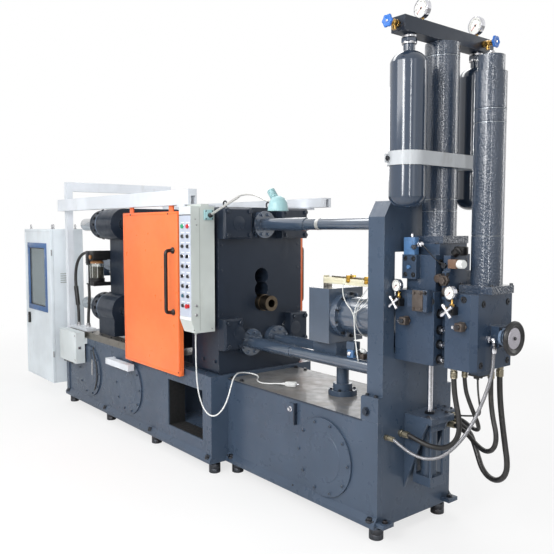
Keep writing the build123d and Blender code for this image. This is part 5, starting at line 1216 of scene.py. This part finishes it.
class MACHINE_OT_cabinet_fittings(bpy.types.Operator):
    """Window, lever, hinges, lifting eyes and seams of the cabinet and junction box"""
    bl_idname = "machine.cabinet_fittings"
    bl_label = "Cabinet fittings"

    def frame_bars(self, shape, low, high, rim, finish, bevel):
        """Four bars round an opening in the plane of the door."""
        x0, y0, z0 = low
        x1, y1, z1 = high
        for a, b in (((x0, z0), (x1, z0 + rim)), ((x0, z1 - rim), (x1, z1)),
                ((x0, z0 + rim), (x0 + rim, z1 - rim)), ((x1 - rim, z0 + rim), (x1, z1 - rim))):
            shape.box((a[0], y0, a[1]), (b[0], y1, b[1]), finish, bevel)

    def gear(self):
        """Mounting plate with wiring ducts, breakers and relays inside the cabinet."""
        shape = Shape()
        shape.box((-5000, -211, 260), (-4310, -206, 1660), "plate", 1)
        for z in (300, 620, 960, 1290, 1600):
            shape.box((-4980, -262, z), (-4330, -211, z + 44), "label", 3)
        for row, (z, kinds) in enumerate(((1370, 9), (1040, 12), (700, 7), (390, 5))):
            width = 620 / kinds
            for i in range(kinds):
                x = -4970 + i * width
                deep = (90, 74, 120, 150)[row] + 12 * (i % 3)
                finish = ("black", "seam_shade", "pale", "seam_shade")[(i + row) % 4]
                shape.box((x, -211 - deep, z),
                    (x + width * 0.84, -211, z + (150, 110, 170, 150)[row]), finish, 3)
                if i % 2:
                    shape.box((x + width * 0.3, -214 - deep, z + 50), (x + width * 0.5, -211 - deep, z + 80),
                        ("amber", "black", "green", "red")[row], 1)
        shape.done("cabinet_gear")

    def execute(self, context):
        window = Shape()
        self.frame_bars(window, (-4939, -533, 868), (-4386, -502, 1584), 52, "window_blue", 2.5)
        self.frame_bars(window, (-4888, -524, 919), (-4437, -510, 1533), 8, "black", 1)
        window.box((-4886, -516, 921), (-4439, -512, 1531), "glass", 0)
        for z in (1000, 1226, 1450):
            for x in (-4913, -4412):
                window.lathe((x, -533, z), NEAR, [(6, 0), (5, 2), (0, 2)], "satin", 16)
        window.done("cabinet_window_framed", "cabinet_door", ("cabinet_window",))

        lever = Shape()
        lever.box((-4927, -551, 712), (-4899, -524, 828), "black", 5, 3)
        lever.box((-4921, -556, 726), (-4905, -548, 800), "satin", 3)
        lever.lathe((-4913, -551, 816), NEAR, [(9, 0), (9, 4), (0, 5)], "chrome", 20)
        self.frame_bars(lever, (-5030, -527.5, 162), (-4280, -524, 1718), 14, "cabinet", 1)
        lever.done("cabinet_lever", "cabinet_door")

        trim = Shape()
        for x in (-4985, -4325):
            for y in (-470, -240):
                trim.lathe((x, y, CABINET_TOP), Z, [(16, 0), (16, 4), (8, 8), (8, 14)], "satin", 20)
                ring = Vector((x, y, CABINET_TOP + 30))
                trim.pipe(around(ring, "y", 18, 9, -90, 45), 4.5, "satin", 8)
        for z in (420, 1460):
            trim.lathe((CABINET_SIDE + 4, -520, z), Z, [(6, 0), (6, 60), (0, 61)], "satin", 16)
        trim.box((-5036, -490, 152), (-4274, -189, 158), "shadow", 0)
        for i in range(5):
            trim.box((-4270.5, -430, 1180 + i * 22), (-4267, -290, 1188 + i * 22), "seam_shade", 1)
        trim.box((-4271, -330, 160), (-4262, -215, 330), "zinc", 2)
        trim.box((-3964, JUNCTION_FRONT - 2.5, 471), (-3569, JUNCTION_FRONT + 1, 759), "junction", 2)
        for z in (500, 730):
            trim.lathe((-3590, JUNCTION_FRONT - 2.5, z), NEAR, [(8, 0), (8, 3), (4, 4), (0, 4)], "satin", 18)
        trim.box((-3566.5, -548, 604), (-3560, -520, 628), "satin", 2)
        trim.lathe((-3563, -534, 616), X, [(6, 0), (6, 6), (0, 7)], "screw", 18)
        for i in range(4):
            trim.lathe((-3930 + i * 60, -525, 468), DOWN, [
                (20, 0), (20, 10), (16, 13), (16, 26), (0, 26)], "black", 22)
        trim.done("cabinet_trim")
        self.gear()
        return {"FINISHED"}


class MACHINE_OT_shot_end(bpy.types.Operator):
    """Stroke switches, their wires, cylinder screws and small valves at the shot cylinder"""
    bl_idname = "machine.shot_end"
    bl_label = "Shot cylinder"

    def execute(self, context):
        rail = Shape()
        low, high = 1397, 1423
        rail.box((-759, -26, low), (-289, 26, low + 5), "cream", 1)
        rail.box((-759, -26, low + 5), (-289, -21, high), "cream", 1)
        rail.box((-759, 21, low + 5), (-289, 26, high), "cream", 1)
        rail.box((-759, -26, 1363), (-729, 26, low), "worn", 2)
        rail.box((-319, -13, 1309), (-289, 13, low), "worn", 2)
        for x in (-760, -292):
            rail.box((x, -26, low), (x + 4, 26, high + 10), "cream", 1)
        for x in (-548, -392, -340):
            rail.box((x, -30, 1404), (x + 34, 28, high + 22), "brass_yellow", 3)
            rail.socket_screw((x + 17, 0, high + 22), Z, 5)
            rail.box((x + 6, -36, 1400), (x + 28, -28, 1416), "brass_yellow", 2)
        rail.box((-752, -34, 1384), (-300, -28, 1398), "cream", 1)
        rail.box((-700, -8, 1424), (-420, 8, 1434), "worn", 2)
        rail.done("stroke_switches", stands_for=("sensor_rail",))

        wires = Shape()
        wires.pipe([(-560, -34, 1392), (-540, -70, 1360), (-470, -116, 1290), (-374, -134, 1232),
            (-366, -136, 1135), (-350, -140, 1040), (-327, -144, 946), (-326, -120, 915)], 3.2, "pale", 8)
        wires.pipe([(-339, -34, 1392), (-342, -80, 1350), (-360, -122, 1290), (-373, -134, 1228),
                    (-362, -138, 1130), (-345, -140, 1030), (-322, -146, 946)], 3, "pale", 8)
        wires.pipe([(-290, -60, 1372), (-292, -108, 1300), (-330, -128, 1256), (-374, -136, 1230)],
            2.8, "pale", 8)
        wires.pipe(around((-372, 0, SHOT_Z), "x", 119.5, 17, 100, 10), 3.5, "pale", 8)
        wires.done("switch_wires")

        parts = Shape()
        parts.box((-438, -132, 1003), (-372, -78, 1052), "blue", 3)
        parts.box((-428, -138, 955), (-376, -92, 1003), "pilot", 5)
        parts.lathe((-402, -138, 982), NEAR, [(14, 0), (14, 10), (9, 14), (0, 14)], "chrome", 20)
        parts.lathe((-372, -112, 985), X, [(16, 0), (16, 30), (12, 34), (12, 46), (0, 47)], "black", 24)
        parts.lathe((-324, -112, 1008), Vector((0.9, -0.3, 0)), [
            (13, 0), (13, 22), (9, 26), (9, 40), (0, 41)], "pale", 22)
        parts.box((-330, -130, 958), (-296, -96, 990), "rusty", 3)
        for spot in around((-527, 0, SHOT_Z), "x", 134, 10, 18):
            parts.socket_screw(spot, X, 10, "screw", 12)
        for spot in around((-119, 0, SHOT_Z), "x", 146, 8, 22.5):
            parts.hex_screw(spot - X * 60, -X, 10, "screw", False)
        for y in (-118, 118):
            for z in (1052, 1330):
                parts.socket_screw((-759, y, z), -X, 14)
        parts.lathe((-759, 0, SHOT_Z), -X, [(52, 0), (52, 6), (46, 9), (40, 9), (40, 4)], "satin", 36)
        for z in (1574, 1529, 1489):
            parts.hex_screw((-117, -262, z), -X, 14)
        for y in (-258, 258):
            for z in (1000, 1160, 1320):
                parts.hex_screw((-117, y, z), -X, 14)
        for spot in around((-600, 0, 708), "z", 77, 6):
            parts.hex_screw(spot, Z, 10)
        for x, y, z, finish in ((-840, 0, 1766, "pale_metal"), (-955, -121, 915, "rod")):
            parts.lathe((x, y, z), X, [(38.2, 0), (39.8, 1), (39.8, 30), (38.2, 31)], finish, 40)
        parts.done("cylinder_fittings")
        return {"FINISHED"}


class MACHINE_OT_platen_fittings(bpy.types.Operator):
    """Bolts, nuts and clamps on platens, nut housings and frame feet"""
    bl_idname = "machine.platen_fittings"
    bl_label = "Platen fittings"

    def execute(self, context):
        shape = Shape()
        for side in (-1, 1):
            shape.hex_screw((-88, side * 322, 725), Y * side, 19, "platen_fine")
            for x in (-98, -34):
                shape.socket_screw((x, side * 305, 812), Z, 10, "screw")
            for x in (-1406, -1300):
                shape.hex_screw((x, side * 296, 674), Z, 14, "screw")
            for z in (960, 1130, 1440, 1620):
                self.stud(shape, (-1455, side * 352, z))
        for y0, y1, z0, z1 in ((139, 383, 1663, 1885), (223, 383, 881, 1103)):
            for side in (-1, 1):
                for y in (y0 + 26, y1 - 26):
                    for z in (z0 + 26, z1 - 26):
                        shape.hex_screw((-1372, side * y, z), X, 15, "platen_fine", True, 0.2)
                ring = Vector((-1372, side * 261, (z0 + z1) / 2))
                shape.lathe(ring, X, [(50, 0), (50, 1.6), (46, 2.2), (0, 2.2)], "platen_fine", 36)
        for side in (-1, 1):
            for x in (-1500, -1650, -1760):
                shape.hex_screw((x, side * PLATEN_HALF, 790), Y * side, 12, "platen_fine")
            shape.lathe((-1630, side * PLATEN_HALF, 1400), Y * side, [
                (20, 0), (20, 4), (12, 6), (0, 6)], "platen_fine", 24)
        for y in (-200, 200):
            eye = Vector((-1630, y, PLATEN_TOP))
            shape.lathe(eye, Z, [(20, 0), (20, 6), (10, 10), (10, 14)], "screw", 22)
            shape.pipe(around(eye + Z * 27.5, "y", 22, 13, -90, 30), 6, "screw", 10)
        nut_end = span("tie_bar_nuts")[0].x
        for y in (-261, 261):
            for z in (992, 1774):
                nut = Vector((nut_end, y, z))
                for along, radius in ((0, 135), (124, 136.5)):
                    shape.lathe(nut + X * along, X, [(128, 0), (radius, 2), (radius, 24), (128, 26)],
                        "satin_blue" if along else "platen_fine", 56)
                shape.lathe(nut - X, -X, [(88, 0), (86, 12), (62, 12)], "satin_blue", 48)
                for out in around((0, 0, 0), "x", 1, 14):
                    shape.hex_screw(nut + X * 76 + out * 131, out, 13, "screw")
        shape.done("platen_bolts")
        return {"FINISHED"}

    def stud(self, shape, spot):
        shape.lathe(spot, X, [(11, 0), (11, 1.5), (8, 2.2), (0, 2.2)], "platen_fine", 20)


class MACHINE_OT_base_fittings(bpy.types.Operator):
    """Foot nuts, cover handles, bed-side cables, lift-rod nuts and rail screws"""
    bl_idname = "machine.base_fittings"
    bl_label = "Base fittings"

    def execute(self, context):
        shape = Shape()
        feet = [(-4015 + 846 * i, side * 408) for i in range(4) for side in (-1, 1)]
        feet += [(x, side * 274) for x in (-1381, -48) for side in (-1, 1)]
        pads = Shape()
        for x, y in feet:
            pads.lathe((x, y, 0), Z, [(37, 0.5), (41, 3), (41, 30), (39.5, 32), (41, 34), (41, 62), (38, 66),
                (28, 67), (28, 82)], "screw", 36)
            outer = math.copysign(468 if x < -1429 else 334, y)
            pads.lathe((x + 4, outer, 112), Z, [(23, 0), (23, 10), (21, 12)], "screw", 24)
            pads.prism((x + 4, outer, 124), Z, 17, 14, 6, "screw", 2)
        pads.done("foot_pads", stands_for=("levelling_feet",))
        for x, y, z in ((-2709, 468, 402), (-3505, 468, 402), (-430, 334, 375)):
            for side in (-1, 1):
                face = Vector((x, side * y, z))
                shape.lathe(face, Y * side, [(150, 0), (148, 1.6), (0, 1.6)], "blue_fine", 48)
                for spot in around(face + Y * side * 9, "y", 212, 10):
                    shape.lathe(spot, Y * side, [(6, 0), (4.5, 1.2), (0, 1.2)], "screw", 12)
        rod = Vector((LIFT_X, 0, LIFT_TOP))
        shape.prism(rod + Z * 34, Z, 30, 16, 6, "screw", 3)
        shape.prism((LIFT_X, 0, 1018), DOWN, 26, 16, 6, "screw", 3)
        for x in (40, 152):
            for y in (-44, 44):
                shape.socket_screw((x, y, LIFT_TOP), DOWN, 9)
        for y in (-80, 80):
            shape.socket_screw((150, y, 698), Z, 10)
        for side in (-1, 1):
            for i in range(9):
                shape.socket_screw((-3900 + 200 * i, side * 430, 760), Z, 8)
        shape.pipe([(-3428, -455, 632), (-3412, -466, 612), (-3375, -470, 552), (-3330, -470, 470),
            (-3320, -470, 380), (-3345, -470, 300), (-3390, -466, 240), (-3420, -458, 222)], 8, "black", 10)
        shape.pipe([(-3452, -455, 628), (-3458, -466, 596), (-3452, -468, 520), (-3430, -466, 440)],
                   6, "pump_hose", 10)
        shape.box((-3446, -476, 372), (-3416, -457, 520), "satin", 4)
        for side in (-1, 1):
            inner, outer = sorted((side * 310, side * 446))
            shape.box((-2045, inner, 224), (-2042.5, outer, 580), "shadow", 0)
            shape.box((-2042, inner, 222.5), (-1561, outer, 224), "shadow", 0)
            inner, outer = sorted((side * 246, side * 332))
            shape.box((-2, inner, 96), (58, outer, 120), "blue", 3)
            shape.hex_screw((30, side * 289, 120), Z, 14, "screw")
            # Thin dark strip under the edge of the base's top plate: painted shadow of the plate's overhang,
            # in the platens' darker enamel
            inner, outer = sorted((side * 321.5, side * 323))
            shape.box((-1425, inner, 664), (-120, outer, 673), "platen_fine", 0)
        shape.lathe((LIFT_X, 0, LIFT_TOP + 4), Z, [(15.8, 0), (15.8, 340)], "chrome", 32)
        shape.box((-745, -332, 520), (-682, -321, 642), "blue", 2)
        shape.box((-685, -346, 514), (-675, -321, 650), "platen_fine", 1)
        shape.lathe((-727, -332, 606), NEAR, [(17, 0), (17, 4), (11, 6), (11, 18), (0, 20)], "chrome", 24)
        for x in (-1418, -700, -20):
            for side in (-1, 1):
                shape.socket_screw((x, side * 334, 118), Z, 8)
        for side in (-1, 1):
            for start, stop, wall in ((-4063, -1429, 456), (-1429, 0, 322)):
                ledge = [(start, side * (wall + out), z)
                         for out, z in ((-4, 94), (26, 94), (26, 108), (-4, 146))]
                shape.panel(ledge, X * (stop - start), "blue_fine")
        shape.done("base_fittings")
        return {"FINISHED"}


class MACHINE_OT_finishes(bpy.types.Operator):
    """Gives every CAD node its paint, metal or plastic"""
    bl_idname = "machine.finishes"
    bl_label = "Finishes"

    def execute(self, context):
        for finish, nodes in NODE_FINISHES.items():
            for name in nodes:
                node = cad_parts[name]
                for slot in node.material_slots:
                    slot.link = "OBJECT"
                    slot.material = FINISHES[finish]
        return {"FINISHED"}


class MACHINE_OT_stage(bpy.types.Operator):
    """Pale floor, white room and soft studio lights"""
    bl_idname = "machine.stage"
    bl_label = "Stage"

    def light(self, name, spot, aim, size, power):
        """A rectangle of light, aimed at a point."""
        data = bpy.data.lights.new(name, "AREA")
        data.shape = "RECTANGLE"
        data.size, data.size_y = size
        data.energy = power
        lamp = bpy.data.objects.new(name, data)
        lamp.location = spot
        lamp.rotation_euler = (Vector(aim) - Vector(spot)).to_track_quat("-Z", "Y").to_euler()
        bpy.context.scene.collection.objects.link(lamp)

    def execute(self, context):
        stage = context.scene.machine_stage
        world = bpy.data.worlds.new("studio")
        context.scene.world = world
        world.use_nodes = True
        tree = world.node_tree
        back = tree.nodes["Background"]
        seen = tree.nodes.new("ShaderNodeLightPath")
        share = seen.outputs["Is Camera Ray"]
        for ray in ("Is Glossy Ray", "Is Transmission Ray"):
            both = tree.nodes.new("ShaderNodeMath")
            both.operation = "MAXIMUM"
            tree.links.new(share, both.inputs[0])
            tree.links.new(seen.outputs[ray], both.inputs[1])
            share = both.outputs[0]
        level = tree.nodes.new("ShaderNodeMapRange")
        tree.links.new(share, level.inputs[0])
        level.inputs[3].default_value = stage.world_strength
        level.inputs[4].default_value = 1.0
        tree.links.new(level.outputs[0], back.inputs["Strength"])
        back.inputs["Color"].default_value = (1.0, 1.0, 1.0, 1.0)

        floor = Finish("studio_floor")
        floor.put(Base_Color=(0.90, 0.90, 0.90, 1.0), Roughness=0.9)
        glow = floor.add("ShaderNodeEmission", Color=(1.0, 1.0, 1.0, 1.0), Strength=1.0)
        paths = floor.add("ShaderNodeLightPath")
        share = floor.calc("MAXIMUM", paths.outputs["Is Camera Ray"], paths.outputs["Is Transmission Ray"])
        spot = floor.add("ShaderNodeVectorMath", {"operation": "LENGTH"})
        floor.feed(spot.inputs[0], floor.where)
        reach = floor.band(spot.outputs["Value"], 2.6, 7.5, stage.floor_glow, 1.0)
        share = floor.calc("MULTIPLY", share, reach)
        both = floor.add("ShaderNodeMixShader", Fac=share)
        floor.tree.links.new(floor.shader.outputs[0], both.inputs[1])
        floor.tree.links.new(glow.outputs[0], both.inputs[2])
        output = floor.tree.nodes["Material Output"]
        floor.tree.links.new(both.outputs[0], output.inputs["Surface"])
        data = bpy.data.meshes.new("studio_floor")
        half = 60.0
        corners = [(-half, -half, 0), (half, -half, 0), (half, half, 0), (-half, half, 0)]
        data.from_pydata(corners, [], [range(4)])
        data.materials.append(floor.material)
        ground = bpy.data.objects.new("studio_floor", data)
        context.scene.collection.objects.link(ground)

        lamps = (("key_light", (1.0, -5.6, 4.2), (0.0, 0.0, 1.0), (4.5, 2.2), stage.key_power),
            ("fill_light", (6.2, -1.2, 2.8), (1.6, 0.0, 1.3), (0.9, 3.4), stage.fill_power),
            ("side_light", (3.0, -3.7, 3.1), (-1.6, 0.0, 1.2), (1.0, 2.0), stage.side_power),
            ("rim_light", (4.2, 3.6, 2.6), (1.5, 0.0, 1.4), (0.5, 3.2), stage.side_power * 0.5),
            ("top_light", (-0.6, 0.2, 5.2), (-0.2, 0.0, 0.0), (6.0, 1.4), stage.top_power),
            ("streak_near", (4.9, -2.2, 2.3), (2.4, -0.2, 2.1), (0.10, 2.6), stage.streak_power),
            ("streak_far", (3.2, -4.4, 2.5), (2.4, -0.2, 2.1), (0.16, 2.8), stage.streak_power * 1.35),
            ("back_light", (-4.8, 4.6, 3.4), (-1.0, 0.0, 1.0), (3.2, 1.6), stage.side_power * 1.4))
        for name, spot, aim, size, power in lamps:
            self.light(name, spot, aim, size, power)
        context.scene.view_settings.view_transform = "Standard"
        return {"FINISHED"}


class MACHINE_PT_panel(bpy.types.Panel):
    """Buttons and values for the casting machine"""
    bl_label = "Casting machine"
    bl_idname = "MACHINE_PT_panel"
    bl_space_type = "VIEW_3D"
    bl_region_type = "UI"
    bl_category = "Casting machine"

    def draw(self, context):
        layout = self.layout
        for step in STEPS:
            layout.operator(step.bl_idname, text=step.bl_label)
        for group in (context.scene.machine_colours, context.scene.machine_sizes,
                context.scene.machine_stage):
            column = layout.column(align=True)
            for name in group.__annotations__:
                column.prop(group, name)


STEPS = [
    MACHINE_OT_camera,
    MACHINE_OT_hoses,
    MACHINE_OT_gauges,
    MACHINE_OT_gas_fittings,
    MACHINE_OT_handwheel,
    MACHINE_OT_hose_ends,
    MACHINE_OT_block_fittings,
    MACHINE_OT_control_box,
    MACHINE_OT_work_lamp,
    MACHINE_OT_lubrication,
    MACHINE_OT_doors,
    MACHINE_OT_cabinet_fittings,
    MACHINE_OT_shot_end,
    MACHINE_OT_platen_fittings,
    MACHINE_OT_base_fittings,
    MACHINE_OT_finishes,
    MACHINE_OT_stage,
]
GROUPS = [MachineColours, MachineSizes, StageSettings]


def register():
    for group in GROUPS:
        bpy.utils.register_class(group)
    bpy.types.Scene.machine_colours = PointerProperty(type=MachineColours)
    bpy.types.Scene.machine_sizes = PointerProperty(type=MachineSizes)
    bpy.types.Scene.machine_stage = PointerProperty(type=StageSettings)
    for step in STEPS:
        bpy.utils.register_class(step)
    bpy.utils.register_class(MACHINE_PT_panel)


def unregister():
    bpy.utils.unregister_class(MACHINE_PT_panel)
    for step in reversed(STEPS):
        bpy.utils.unregister_class(step)
    del bpy.types.Scene.machine_stage
    del bpy.types.Scene.machine_sizes
    del bpy.types.Scene.machine_colours
    for group in reversed(GROUPS):
        bpy.utils.unregister_class(group)


def main():
    """Builds the whole scene around the frame."""
    register()
    make_finishes()
    for step in STEPS:
        category, name = step.bl_idname.split(".")
        getattr(getattr(bpy.ops, category), name)()


if __name__ == "__main__":
    main()
